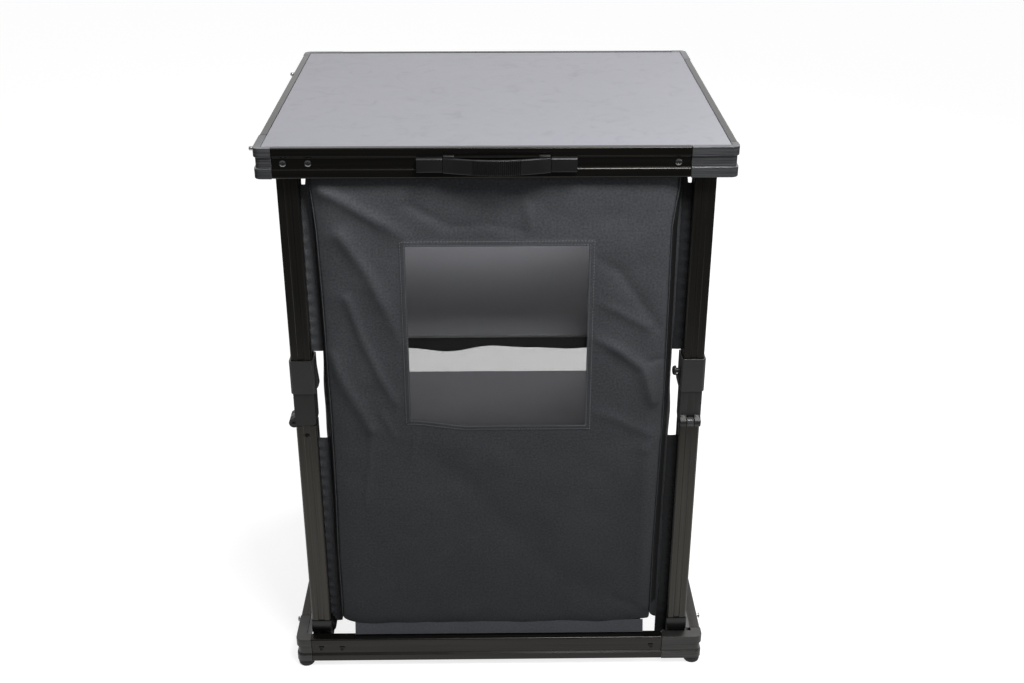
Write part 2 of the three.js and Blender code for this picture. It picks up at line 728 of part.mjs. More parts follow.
// The door rolled up under the rear rail: a fat roll, drawn in where two ties hold it.
function doorRollSolid() {
  const half = bodyHalfWidth - clothThickness - fit;
  const centreY = innerHalfDepth - rollRadiusY - 2 * clothThickness;
  const centreZ = topBottom - rollRadiusZ - fit;
  const around = 12;
  const [tieInner, tieOuter] = [rollTieInset - rollTieWidth, rollTieInset + rollTieWidth];
  const stations = chain(
    spread(-half, -tieOuter, 4),
    spread(-tieOuter, -tieInner, 4),
    spread(-tieInner, tieInner, 6),
    spread(tieInner, tieOuter, 4),
    spread(tieOuter, half, 4),
  );
  const rings = stations.map((x) => {
    const pinch = Math.exp(-(((Math.abs(x) - rollTieInset) / rollTieWidth) ** 2) * 2);
    const size = (1 - rollPinchShare * pinch) / (1 + rollLobeShare);
    return arc([centreY, centreZ], 1, 0, 360, around).slice(0, -1).map(([y, z], i) => {
      const turn = (2 * Math.PI * rollLobes * i) / around;
      const reach = size * (1 + rollLobeShare * Math.sin(turn + x / rollTieInset));
      const [outY, outZ] = [(y - centreY) * rollRadiusY, (z - centreZ) * rollRadiusZ];
      return [x, centreY + outY * reach, centreZ + outZ * reach];
    });
  });
  return lofted(rings);
}

// A closed surface through rings of points, with a flat fan at each end.
function lofted(rings) {
  const sides = rings[0].length;
  const points = rings.flat();
  const triangles = [];
  for (let j = 0; j < rings.length - 1; j++) {
    for (let i = 0; i < sides; i++) {
      const next = (i + 1) % sides;
      const [low, high] = [j * sides, (j + 1) * sides];
      triangles.push(low + i, low + next, high + next, low + i, high + next, high + i);
    }
  }
  const last = (rings.length - 1) * sides;
  for (let i = 1; i < sides - 1; i++) triangles.push(0, i + 1, i, last, last + i, last + i + 1);
  const geometry = new THREE.BufferGeometry();
  geometry.setAttribute("position", new THREE.BufferAttribute(new Float32Array(points.flat()), 3));
  geometry.setIndex(triangles);
  return outwards(geometry);
}

function shelfSolid(top) {
  const half = bodyHalfWidth - clothThickness - fit;
  return box([-half, -shelfDepth / 2, top - shelfThickness], [half, shelfDepth / 2, top]);
}

function boardSolid() {
  const [halfX, halfY] = [width / 2 - flangeWidth - fit, depth / 2 - flangeWidth - fit];
  return box([-halfX, -halfY, height - boardDrop - boardThickness], [halfX, halfY, height - boardDrop]);
}

// The corners in turn, each a quarter turn on from the last. A corner's frame has its origin at the
// frame's outer corner, +X along the side that starts there and +Y along the side that ends there.
const corners = ["front_left", "front_right", "rear_right", "rear_left"];
const sides = ["front", "right", "rear", "left"];
const sideLength = (k) => (k % 2 ? depth : width);

function cornerFrame(k, z) {
  const frame = new THREE.Group();
  const [x, y] = [[-1, -1], [1, -1], [1, 1], [-1, 1]][k];
  frame.position.set((x * width) / 2, (y * depth) / 2, z);
  frame.rotation.z = (k * Math.PI) / 2;
  return frame;
}

const organizer = new THREE.Group();

// Places along the left side of the top frame and the sides of the base, from the corner where
// each side starts.
const pegPlaces = [pegInset, depth - pegInset];
const studPlaces = { right: studInset, left: depth - studInset };

corners.forEach((corner, k) => {
  const side = sides[k];
  const alongLeg = k % 2 ? legInsetY : legInsetX;
  const acrossLeg = k % 2 ? legInsetX : legInsetY;
  const railGap = acrossLeg - legHalf - railDepth;

  const base = cornerFrame(k, footHeight);
  const studHoles = side in studPlaces ? [studPlaces[side]] : [];
  base.add(meshOf("base_rail_" + side, railSolid(sideLength(k), 1, alongLeg, studHoles), railFinish));
  base.add(meshOf("base_corner_" + corner, castingSolid(1), castingFinish));
  for (const along of studHoles) {
    const stud = meshOf("base_stud_" + side, studSolid(), steelFinish);
    stud.position.set(along, 0, fastenerDrop);
    base.add(stud);
  }
  const foot = meshOf("foot_" + corner, footSolid(), rubberFinish);
  foot.position.set(footInset, footInset, -footHeight);
  base.add(foot);

  const top = cornerFrame(k, height);
  const pegHoles = side === "left" ? pegPlaces : [];
  top.add(meshOf("top_rail_" + side, railSolid(sideLength(k), -1, alongLeg, pegHoles), railFinish));
  top.add(meshOf("top_corner_" + corner, castingSolid(-1), castingFinish));
  pegHoles.forEach((along, i) => {
    const peg = meshOf("side_peg_" + ["rear", "front"][i], pegSolid(), steelFinish);
    peg.position.set(along, 0, -fastenerDrop);
    top.add(peg);
  });

  const frame = cornerFrame(k, 0);
  const leg = new THREE.Group();
  leg.position.set(alongLeg, acrossLeg, 0);
  frame.add(leg);
  leg.add(meshOf("lower_tube_" + corner, lowerTube(railGap), tubeFinish));
  leg.add(meshOf("lower_knuckle_" + corner, hingeHalf(-1, knuckleCap), hingeFinish));
  leg.add(meshOf("hinge_housing_" + corner, hingeHalf(1, housingHeight), hingeFinish));
  leg.add(meshOf("upper_tube_" + corner, upperTube(railGap), tubeFinish));
  leg.add(meshOf("lock_sleeve_" + corner, sleeveSolid(), hingeFinish));
  leg.add(meshOf("release_knob_" + corner, knobSolid(), hingeFinish));

  organizer.add(base, top, frame);
});

organizer.add(meshOf("worktop", boardSolid(), boardFinish));

const handle = new THREE.Group();
handle.position.set(0, -depth / 2, height);
handle.add(meshOf("handle_end_left", handleEndSolid(-1), handleFinish));
handle.add(meshOf("handle_end_right", handleEndSolid(1), handleFinish));
handle.add(meshOf("handle_grip", gripSolid(), handleFinish));
organizer.add(handle);

organizer.add(meshOf("near_panel", nearPanelSolid(), clothFinish));
organizer.add(meshOf("window_mesh", windowMeshSolid(), meshFinish));
organizer.add(meshOf("side_panel_left", sidePanelSolid(-1), clothFinish));
organizer.add(meshOf("side_panel_right", sidePanelSolid(1), clothFinish));
organizer.add(meshOf("door_roll", doorRollSolid(), clothFinish));
organizer.add(meshOf("floor_cloth", floorClothSolid(), paleClothFinish));
organizer.add(meshOf("upper_shelf", shelfSolid(upperShelfTop), paleClothFinish));
organizer.add(meshOf("lower_shelf", shelfSolid(lowerShelfTop), paleClothFinish));

// The handle and pegs stand out on one side only, so the whole is moved to centre its box.
organizer.updateMatrixWorld(true);
const bounds = new THREE.Box3().setFromObject(organizer);
const middle = bounds.getCenter(new THREE.Vector3());
organizer.position.set(-middle.x, -middle.y, -bounds.min.z);

export default organizer;
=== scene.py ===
"""The looks of a folding camp kitchen organizer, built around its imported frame.

Metres, +Z up, -Y towards the side with the carry handle. Sizes are given in millimetres times MM.
Every new piece is a surface worked out on a grid, or a profile carried along a path.
"""

import bmesh
import bpy
import numpy as np
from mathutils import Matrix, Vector


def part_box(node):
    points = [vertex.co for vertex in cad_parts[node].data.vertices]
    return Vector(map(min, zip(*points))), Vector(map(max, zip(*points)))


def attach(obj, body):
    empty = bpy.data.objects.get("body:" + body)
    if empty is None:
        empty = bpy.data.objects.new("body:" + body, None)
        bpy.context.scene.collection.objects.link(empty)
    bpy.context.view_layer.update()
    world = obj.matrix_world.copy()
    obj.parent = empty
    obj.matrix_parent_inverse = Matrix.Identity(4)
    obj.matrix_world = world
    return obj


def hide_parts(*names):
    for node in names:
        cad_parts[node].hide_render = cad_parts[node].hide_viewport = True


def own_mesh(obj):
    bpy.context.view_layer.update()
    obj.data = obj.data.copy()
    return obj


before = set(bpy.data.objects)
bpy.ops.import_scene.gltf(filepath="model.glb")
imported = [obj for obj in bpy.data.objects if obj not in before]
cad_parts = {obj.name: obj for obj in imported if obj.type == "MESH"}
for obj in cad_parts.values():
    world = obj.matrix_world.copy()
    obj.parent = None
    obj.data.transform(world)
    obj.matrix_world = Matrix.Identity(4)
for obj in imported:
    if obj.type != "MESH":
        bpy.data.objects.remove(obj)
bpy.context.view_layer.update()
MM = 0.001

# Places taken from the frame
CORNERS = ("front_left", "front_right", "rear_right", "rear_left")
SIDES = ("front", "right", "rear", "left")
board_low, board_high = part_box("worktop")
centre = (board_low + board_high) / 2
half_width = centre.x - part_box("base_rail_left")[0].x
half_depth = centre.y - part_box("base_rail_front")[0].y
base_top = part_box("base_rail_front")[1].z
top_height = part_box("top_rail_front")[1].z
base_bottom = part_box("base_rail_front")[0].z
panel_low, panel_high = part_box("near_panel")
panel_half = (panel_high.x - panel_low.x) / 2
net_low, net_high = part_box("window_mesh")
panel_plane = net_low.y - 0.3 * MM
window_lap = 7 * MM
window_half = (net_high.x - net_low.x) / 2 - window_lap
window_top = net_high.z - window_lap
window_bottom = net_low.z + window_lap


# Making meshes

def smooth(share):
    """Smooth step: 3 s^2 - 2 s^3 for a share held between 0 and 1."""
    held = np.clip(share, 0, 1)
    return held * held * (3 - 2 * held)


def grid_faces(rows, columns, wrap_rows=False, wrap_columns=False):
    """Quads between neighbouring points of a grid; a wrapped direction joins its last to its first."""
    index = np.arange(rows * columns).reshape(rows, columns)
    if wrap_rows:
        index = np.vstack([index, index[:1]])
    if wrap_columns:
        index = np.hstack([index, index[:, :1]])
    quads = [index[:-1, :-1], index[:-1, 1:], index[1:, 1:], index[1:, :-1]]
    return np.stack([quad.ravel() for quad in quads], 1)


def piece(name, points, faces, material, body, uv=None, slot=None, sharp=40):
    """A mesh object from points and faces, merged, smooth but for edges sharper than the angle."""
    points = np.asarray(points, float).reshape(-1, 3)
    faces = np.asarray(faces)
    used, faces = np.unique(faces, return_inverse=True)
    faces = faces.reshape(-1, 4) if faces.ndim == 1 else faces
    mesh = bpy.data.meshes.new(name)
    mesh.from_pydata(points[used].tolist(), [], faces.tolist())
    if uv is not None:
        flat = np.asarray(uv, float).reshape(-1, 2)[used]
        corner = np.zeros(len(mesh.loops), np.int32)
        mesh.loops.foreach_get("vertex_index", corner)
        layer = mesh.uv_layers.new(name="weave")
        layer.data.foreach_set("uv", flat[corner].astype(np.float32).ravel())
    work = bmesh.new()
    work.from_mesh(mesh)
    bmesh.ops.remove_doubles(work, verts=work.verts, dist=1e-6)
    work.to_mesh(mesh)
    work.free()
    mesh.shade_smooth()
    mesh.set_sharp_from_angle(angle=np.radians(sharp))
    mesh.materials.append(material)
    made = bpy.data.objects.new(name, mesh)
    bpy.context.scene.collection.objects.link(made)
    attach(made, body)
    return made


def thick_sheet(points, offset, cells=None):
    """Points and faces of a closed sheet: a grid, the same grid moved by an offset, and its rims.

    Cells that are False are left open."""
    rows, columns = points.shape[:2]
    if cells is None:
        cells = np.ones((rows - 1, columns - 1), bool)
    index = np.arange(rows * columns).reshape(rows, columns)
    corners = [index[:-1, :-1], index[:-1, 1:], index[1:, 1:], index[1:, :-1]]
    front = np.stack(corners, -1)[cells]
    count = rows * columns
    padded = np.pad(cells, 1)
    neighbours = [padded[:-2, 1:-1], padded[1:-1, 2:], padded[2:, 1:-1], padded[1:-1, :-2]]
    parts = [front, front[:, ::-1] + count]
    for side in range(4):
        free = cells & ~neighbours[side]
        first, second = corners[side][free], corners[(side + 1) % 4][free]
        parts.append(np.stack([second, first, first + count, second + count], 1))
    both = np.concatenate([points.reshape(-1, 3), (points + offset).reshape(-1, 3)])
    return both, np.concatenate(parts)


def sheet_piece(name, points, offset, uv, material, body="base", slot="cupboard_cloth", flip=False,
                cells=None):
    """A closed sheet of cloth: thick_sheet of a grid, with its weave coordinates on both faces."""
    if flip:
        points, uv = points[:, ::-1], uv[:, ::-1]
    solid, faces = thick_sheet(points, np.asarray(offset), cells)
    flat = uv.reshape(-1, 2)
    return piece(
        name, solid, faces, material, body, np.concatenate([flat, flat]), slot=slot, sharp=60
    )


def lathe(profile, steps=40):
    """Radius and height points turned about +Z: (r cos t, r sin t, h)."""
    radius, rise = np.array(profile, float).T
    turn = np.linspace(0, 2 * np.pi, steps, endpoint=False)
    points = np.stack(
        [radius[:, None] * np.cos(turn), radius[:, None] * np.sin(turn), rise[:, None] + 0 * turn], -1
    )
    return points.reshape(-1, 3), grid_faces(len(profile), steps, wrap_columns=True)


def rounded_outline(half_x, half_y, radius, steps=5):
    """Points of a rectangle with round corners, counter-clockwise."""
    quarter = np.linspace(0, np.pi / 2, steps)
    points = []
    for k, (sx, sy) in enumerate(((1, 1), (-1, 1), (-1, -1), (1, -1))):
        angle = quarter + k * np.pi / 2
        points.append(np.stack([
            sx * (half_x - radius) + radius * np.cos(angle),
            sy * (half_y - radius) + radius * np.sin(angle),
        ], 1))
    return np.concatenate(points)


def soft_block(half_x, half_y, low, high, radius, edge, steps=5):
    """A block along Z with round sides and rounded ends: an outline that shrinks by an edge circle."""
    curve = np.linspace(0, np.pi / 2, 4)
    inset = np.concatenate([edge * (1 - np.sin(curve)), edge * (1 - np.cos(curve))])
    rise = np.concatenate([low + edge * (1 - np.cos(curve)), high - edge * (1 - np.sin(curve))])
    rings = []
    for step, z in zip(inset, rise):
        outline = rounded_outline(half_x - step, half_y - step, max(radius - step, 0.05 * MM), steps)
        rings.append(np.column_stack([outline, np.full(len(outline), z)]))
    middle = [np.tile([0, 0, z], (len(rings[0]), 1)) for z in (low, high)]
    grid = np.array([middle[0], *rings, middle[1]])
    return grid.reshape(-1, 3), grid_faces(len(grid), len(rings[0]), wrap_columns=True)


def plate(outline, low, high, edges=(0.5 * MM, 0.5 * MM)):
    """A flat part along Y: a convex outline in x and z, drawn in at either end by an edge."""
    outline = np.asarray(outline, float)
    middle = outline.mean(0)
    reach = np.linalg.norm(outline - middle, axis=1, keepdims=True)
    rows = []
    upper = ((high, None), (high, edges[1]), (high - edges[1], 0))
    lower = ((low + edges[0], 0), (low, edges[0]), (low, None))
    for y, step in (*upper, *lower):
        share = 0 if step is None else 1 - step / reach
        ring = middle + (outline - middle) * share
        rows.append(np.column_stack([ring[:, 0], np.full(len(ring), y), ring[:, 1]]))
    grid = np.array(rows)
    return grid.reshape(-1, 3), grid_faces(len(grid), len(outline), wrap_columns=True)


def joined(parts):
    """Several (points, faces) pairs as one."""
    points, faces, count = [], [], 0
    for part_points, part_faces in parts:
        points.append(np.asarray(part_points).reshape(-1, 3))
        faces.append(np.asarray(part_faces) + count)
        count += len(points[-1])
    return np.concatenate(points), np.concatenate(faces)


def side_place(k, points):
    """Points of side k's own frame (along the side, inwards, up) in the object's frame."""
    points = np.asarray(points, float).reshape(-1, 3)
    corner = ((-1, -1), (1, -1), (1, 1), (-1, 1))[k]
    cos, sin = ((1, 0), (0, 1), (-1, 0), (0, -1))[k]
    x = centre.x + corner[0] * half_width + cos * points[:, 0] - sin * points[:, 1]
    y = centre.y + corner[1] * half_depth + sin * points[:, 0] + cos * points[:, 1]
    return np.stack([x, y, points[:, 2]], 1)


def facing(points, axis):
    """Points about +Z turned so that +Z becomes an axis of the side's frame: -y, +y, -x or +x."""
    x, y, z = np.asarray(points, float).reshape(-1, 3).T
    turned = {"-y": (x, -z, y), "+y": (-x, z, y), "-x": (-z, -x, y), "+x": (z, x, y)}[axis]
    return np.stack(turned, 1)


# Making materials

STRETCHED = 1000  # mm in one unit of coordinates that are already stretched


def srgb(code):
    """Linear colour of an sRGB hex value."""
    parts = [int(code[i:i + 2], 16) / 255 for i in (1, 3, 5)]
    return tuple(c / 12.92 if c <= 0.04045 else ((c + 0.055) / 1.055) ** 2.4 for c in parts) + (1.0,)


def add(tree, kind, settings=None, links=None):
    """A node with its settings, by property or socket, and its linked inputs."""
    made = tree.nodes.new(kind)
    for key, value in (settings or {}).items():
        if isinstance(key, str) and key in made.bl_rna.properties:
            setattr(made, key, value)
        else:
            made.inputs[key].default_value = value
    for key, output in (links or {}).items():
        tree.links.new(output, made.inputs[key])
    return made


def maths(tree, operation, *values):
    """A calculation with outputs and numbers."""
    numbers = {k: value for k, value in enumerate(values) if isinstance(value, float)}
    links = {k: value for k, value in enumerate(values) if k not in numbers}
    return add(tree, "ShaderNodeMath", {"operation": operation, **numbers}, links).outputs[0]


def noise(tree, place, size, detail, settings=None):
    """Noise with patches of about one size in mm."""
    settings = {"Scale": 1 / (size * MM), "Detail": detail, **(settings or {})}
    return add(tree, "ShaderNodeTexNoise", settings, {"Vector": place}).outputs["Fac"]


def mapped(tree, value, low, high, first=0, last=1, curve="LINEAR"):
    """A value held between first and last, and mapped to low to high."""
    settings = {"interpolation_type": curve, 1: first, 2: last, 3: low, 4: high}
    return add(tree, "ShaderNodeMapRange", settings, {0: value}).outputs[0]


def mixed(tree, share, dark, pale):
    """The colour that lies a share of the way between two sRGB values."""
    settings = {"data_type": "RGBA", 6: srgb(dark), 7: srgb(pale)}
    return add(tree, "ShaderNodeMix", settings, {0: share}).outputs[2]


def bumped(tree, height, strength, depth):
    """Normals that follow a height, with a depth in mm."""
    settings = {"Strength": strength, "Distance": depth * MM}
    return add(tree, "ShaderNodeBump", settings, {"Height": height}).outputs[0]


def new_material(name):
    """An empty material, its node tree and the coordinates of its piece, in metres."""
    made = bpy.data.materials.new(name)
    made.use_nodes = True
    made.node_tree.nodes.clear()
    return made, made.node_tree, add(made.node_tree, "ShaderNodeTexCoord").outputs["Object"]


def principled(made, settings, links):
    """The material with the shader and the output that every one ends with."""
    shader = add(made.node_tree, "ShaderNodeBsdfPrincipled", settings, links)
    add(made.node_tree, "ShaderNodeOutputMaterial", links={"Surface": shader.outputs[0]})
    return made


def streaked_finish(name, lengths, dark, pale, roughness, metallic, depth=0.12):
    """A satin skin with fine lines: noise stretched to a length in mm along each axis.

    Die lines are about 0.2 mm apart; they are drawn about 1 mm apart so that they show."""
    made, tree, place = new_material(name)
    scale = {"Scale": [1 / (length * MM) for length in lengths]}
    stretched = add(tree, "ShaderNodeMapping", scale, {"Vector": place}).outputs[0]
    lines = noise(tree, stretched, STRETCHED, 3)
    handled = noise(tree, place, 45, 4)
    return principled(made, {"Metallic": metallic}, {
        "Base Color": mixed(tree, mapped(tree, lines, 0, 1, 0.25, 0.75), dark, pale),
        "Roughness": mapped(tree, handled, roughness - 0.05, roughness + 0.07),
        "Normal": bumped(tree, lines, 0.25, depth),
    })


def moulded_plastic(name, dark, pale, roughness, grain=0.9, depth=0.05):
    """Injection-moulded nylon or ABS with a spark-eroded grain.

    The grain is about 0.3 mm; it is drawn coarser so that it shows."""
    made, tree, place = new_material(name)
    spark = noise(tree, place, grain, 3, {"Roughness": 0.6})
    worn = noise(tree, place, 30, 3)
    return principled(made, {"IOR": 1.5}, {
        "Base Color": mixed(tree, worn, dark, pale),
        "Roughness": mapped(tree, worn, roughness - 0.05, roughness + 0.08),
        "Normal": bumped(tree, spark, 0.4, depth),
    })


def plated_steel(name, dark, pale, roughness):
    """Plated or blackened steel with fine turned marks."""
    made, tree, place = new_material(name)
    marks = noise(tree, place, 1.5, 4)
    return principled(made, {"Metallic": 1.0}, {
        "Base Color": mixed(tree, marks, dark, pale),
        "Roughness": mapped(tree, marks, roughness - 0.05, roughness + 0.1),
    })


def laminate_board():
    """Melamine laminate pressed against a satin sheet, with faint marks of handling."""
    made, tree, place = new_material("satin_laminate")
    cloud = noise(tree, place, 190, 5, {"Roughness": 0.55})
    smear = noise(tree, place, 38, 6, {"Roughness": 0.6, "Distortion": 1.6})
    grain = noise(tree, place, 1.6, 2)
    marked = add(
        tree, "ShaderNodeMix", {"data_type": "RGBA", 7: srgb("#82828b")},
        {0: mapped(tree, smear, 0, 1, 0.56, 0.74), 6: mixed(tree, cloud, "#878790", "#8e8e97")},
    )
    return principled(made, {"IOR": 1.5}, {
        "Base Color": marked.outputs[2],
        "Roughness": mapped(tree, smear, 0.3, 0.42),
        "Normal": bumped(tree, grain, 0.12, 0.05),
    })


def coated_weave(name, dark, pale, sheen=0.04, depth=0.16):
    """Coated polyester oxford: plain weave with a soft shine from the coating.

    Threads are about 0.5 mm apart; they are drawn 1.7 mm apart so that they show. The colour is
    darkened towards the foot by height: painted shade for the light that falls off lower down."""
    made, tree, place = new_material(name)
    flat = add(tree, "ShaderNodeUVMap", {"uv_map": "weave"}).outputs[0]
    thread = 2 * np.pi / (1.7 * MM) / 20  # a wave texture has 20 / 2 pi bands in a unit
    warp, weft = [
        add(
            tree, "ShaderNodeTexWave",
            {"bands_direction": axis, "Scale": thread, "Distortion": 1.2, "Detail": 1}, {"Vector": flat},
        ).outputs["Fac"]
        for axis in "XY"
    ]
    slub = noise(tree, flat, 3, 3, {"Roughness": 0.65})
    height = maths(tree, "ADD", maths(tree, "MULTIPLY", warp, weft), slub)
    wear = maths(tree, "MULTIPLY_ADD", noise(tree, flat, 80, 4), 0.3, slub)
    tint = mixed(tree, mapped(tree, wear, 0, 1, 0.45, 0.85), dark, pale)
    # Painted shade: the colour is multiplied darker towards the foot, by height, in place of the light
    # falling off there.
    level = add(tree, "ShaderNodeSeparateXYZ", links={"Vector": place}).outputs["Z"]
    painted_foot_shade = add(
        tree, "ShaderNodeMix", {"data_type": "RGBA", "blend_type": "MULTIPLY", 0: 1.0},
        {6: tint, 7: mapped(tree, level, 0.56, 1.08, 60 * MM, 700 * MM)},
    )
    settings = {"IOR": 1.45, "Specular IOR Level": 0.2, "Roughness": 0.55, "Sheen Weight": sheen,
                "Sheen Roughness": 0.4}
    return principled(
        made, settings, {"Base Color": painted_foot_shade.outputs[2], "Normal": bumped(tree, height, 0.6, depth)}
    )


def spun_thread(name, dark, pale):
    """Spun polyester thread or monofilament: matt, slightly uneven in colour."""
    made, tree, place = new_material(name)
    colour = mixed(tree, noise(tree, place, 1.2, 2), dark, pale)
    return principled(made, {"Roughness": 0.75, "IOR": 1.45}, {"Base Color": colour})


RAIL_LOOK = ("#2b2a28", "#383634", 0.24, 0.85)
rail_across = streaked_finish("black_anodised_rail_across", (160, 1.4, 1.4), *RAIL_LOOK)
rail_along = streaked_finish("black_anodised_rail_along", (1.4, 160, 1.4), *RAIL_LOOK)
tube_finish = streaked_finish(
    "black_anodised_leg_tube", (1.4, 1.4, 160), "#363532", "#45433f", 0.28, 0.85)
cap_finish = streaked_finish(
    "satin_moulded_cap", (70, 70, 0.9), "#3c3d3f", "#7c7d80", 0.34, 0.5, depth=0.05)
base_cap_finish = streaked_finish(
    "satin_moulded_base_cap", (70, 70, 0.9), "#2c2b2a", "#4c4b4a", 0.38, 0.5, depth=0.05)
hinge_finish = moulded_plastic("moulded_nylon_hinge", "#222221", "#292928", 0.42)
barrel_finish = moulded_plastic("moulded_nylon_barrel", "#3e3e40", "#4c4c4e", 0.3)
sleeve_finish = moulded_plastic("moulded_nylon_sleeve", "#323332", "#3c3d3c", 0.36)
handle_finish = moulded_plastic("moulded_soft_grip", "#181818", "#222222", 0.32)
rubber_finish = moulded_plastic("moulded_rubber", "#262524", "#323131", 0.7, grain=1.4)
# Black rubber, and darker still than the feet's rubber: painted shade, because the boot stands in shadow.
boot_finish = moulded_plastic("moulded_rubber_boot_painted_shade", "#070707", "#0c0c0c", 0.35)
bright_steel = plated_steel("zinc_plated_steel", "#b4b4b2", "#dcdcda", 0.25)
screw_steel = plated_steel("nickel_plated_steel", "#808080", "#9a9a9a", 0.16)
black_steel = plated_steel("black_oxide_steel", "#2a2a2a", "#3c3c3c", 0.35)
strip_finish = moulded_plastic("extruded_pvc_edging", "#d4d4d4", "#e4e4e4", 0.35)
laminate = laminate_board()
cloth = coated_weave("charcoal_coated_polyester", "#484a4d", "#5d5f63")
cloth_dark = coated_weave("black_coated_polyester", "#141415", "#1c1c1d", sheen=0.05)
cloth_pale = coated_weave("grey_lining_polyester", "#67696f", "#777980")
# Painted light: one gathered polyester in two copies, the left strips lightened as if lit and the right
# strips darkened as if in shade.
strip_cloths = {
    -1: coated_weave("gathered_polyester_painted_lit", "#66686c", "#76787c"),
    1: coated_weave("gathered_polyester_painted_shade", "#2a2b2d", "#343537"),
}
# Painted light: one board cover in two copies, the upper shelf's lightened as if lit through the open rear
# and the lower shelf's darkened as if in shade.
upper_shelf_finish = coated_weave("covered_board_painted_lit", "#d0d0d8", "#dadae2", depth=0.08)
lower_shelf_finish = coated_weave("covered_board_painted_shade", "#98989e", "#a4a4aa", depth=0.08)
net_finish = spun_thread("charcoal_net_monofilament", "#131314", "#1c1c1d")
stitch_finish = spun_thread("grey_polyester_thread", "#77787b", "#95969a")


# Camera: the photograph's viewpoint, fitted to the frame's edges
FOCAL_PIXELS = 1295
FRAME_PIXELS = 1024
EYE = (1.3 * MM, -1777.0 * MM, 1274.9 * MM)
LOOKING_DOWN = 25.72
TURNED_RIGHT = 0.80
camera_data = bpy.data.cameras.new("camera")
camera_data.sensor_width = 36
camera_data.lens = FOCAL_PIXELS / FRAME_PIXELS * camera_data.sensor_width
camera_data.clip_end = 200
camera = bpy.data.objects.new("camera", camera_data)
camera.location = EYE
camera.rotation_euler = (np.radians(90 - LOOKING_DOWN), 0, np.radians(-TURNED_RIGHT))
bpy.context.scene.collection.objects.link(camera)
bpy.context.scene.camera = camera


# Stage: a pale floor that the camera sees as white, with the object's soft shadow on it

FLOOR_REACH = 60.0
PAINTED_FLOOR_SHADE = 0.08  # painted shade: what mirrors see of the floor under the object and far from it
PAINTED_POOL_START = (0.8, 1.05)  # from dark to bright, in half widths and half depths from the middle
PAINTED_POOL_END = (2.6, 5.2)  # from bright to dark


def make_floor():
    """A flat floor. Camera rays see it as white where it isn't in shadow.

    In mirrors it glows: a painted pool of light round the object and a painted shadow under it, fading with
    the distance from it."""
    corners = [[-1, -1, 0], [1, -1, 0], [1, 1, 0], [-1, 1, 0]]
    mesh = bpy.data.meshes.new("floor")
    mesh.from_pydata((np.array(corners) * FLOOR_REACH).tolist(), [], [[0, 1, 2, 3]])
    made, tree, place = new_material("white_floor")
    ray = add(tree, "ShaderNodeLightPath").outputs
    shares = add(
        tree, "ShaderNodeVectorMath",
        {"operation": "MULTIPLY_ADD", 1: (1 / half_width, 1 / half_depth, 0),
         2: (-centre.x / half_width, -centre.y / half_depth, 0)},
        {0: place},
    )
    outward = add(tree, "ShaderNodeVectorMath", {"operation": "ABSOLUTE"}, {0: shares.outputs[0]})
    axes = add(tree, "ShaderNodeSeparateXYZ", links={0: outward.outputs[0]}).outputs
    away = maths(tree, "MAXIMUM", axes["X"], axes["Y"])
    # Painted light: mirrors see a glowing pool round the object and a painted shadow under it.
    near = mapped(tree, away, PAINTED_FLOOR_SHADE, 1, *PAINTED_POOL_START, "SMOOTHSTEP")
    far = mapped(tree, away, 1, PAINTED_FLOOR_SHADE, *PAINTED_POOL_END, "SMOOTHSTEP")
    painted_pool = maths(tree, "MULTIPLY", near, far)
    mirrored = add(tree, "ShaderNodeEmission", {"Color": (1, 1, 1, 1)}, {"Strength": painted_pool})
    paper = add(tree, "ShaderNodeBsdfDiffuse", {"Color": (0.15, 0.15, 0.15, 1)})
    lit = add(
        tree, "ShaderNodeMixShader",
        links={0: ray["Is Glossy Ray"], 1: paper.outputs[0], 2: mirrored.outputs[0]},
    )
    shadowed = add(tree, "ShaderNodeBsdfDiffuse", {"Color": (0.45, 0.45, 0.45, 1)})
    white = add(tree, "ShaderNodeEmission", {"Color": (1, 1, 1, 1), "Strength": 0.8})
    seen = add(tree, "ShaderNodeAddShader", links={0: shadowed.outputs[0], 1: white.outputs[0]})
    clear = maths(tree, "MAXIMUM", ray["Is Camera Ray"], ray["Is Transmission Ray"])
    final = add(tree, "ShaderNodeMixShader", links={0: clear, 1: lit.outputs[0], 2: seen.outputs[0]})
    add(tree, "ShaderNodeOutputMaterial", links={"Surface": final.outputs[0]})
    mesh.materials.append(made)
    floor = bpy.data.objects.new("floor", mesh)
    bpy.context.scene.collection.objects.link(floor)


def make_world():
    """A studio: white where it is seen, softer as light, and in mirrors dark in front, white behind."""
    world = bpy.data.worlds.new("studio")
    bpy.context.scene.world = world
    world.use_nodes = True
    tree = world.node_tree
    tree.nodes.clear()
    ray = add(tree, "ShaderNodeLightPath").outputs
    place = add(tree, "ShaderNodeTexCoord").outputs["Generated"]
    rearwards = add(tree, "ShaderNodeSeparateXYZ", links={0: place}).outputs["Y"]
    mirrored = mapped(tree, rearwards, 0.2, 1, -0.35, 0.5, "SMOOTHSTEP")
    soft = mapped(tree, rearwards, 0.13, 1.4, 0.1, 0.9, "SMOOTHSTEP")
    light = add(
        tree, "ShaderNodeMix", {"data_type": "FLOAT"}, {0: ray["Is Glossy Ray"], 2: soft, 3: mirrored}
    )
    seen = maths(tree, "MAXIMUM", ray["Is Camera Ray"], ray["Is Transmission Ray"])
    strength = add(
        tree, "ShaderNodeMix", {"data_type": "FLOAT", 3: 1.0}, {0: seen, 2: light.outputs[0]}
    )
    sky = add(
        tree, "ShaderNodeBackground", {"Color": (1, 1, 1, 1)}, {"Strength": strength.outputs[0]}
    )
    add(tree, "ShaderNodeOutputWorld", links={"Surface": sky.outputs[0]})


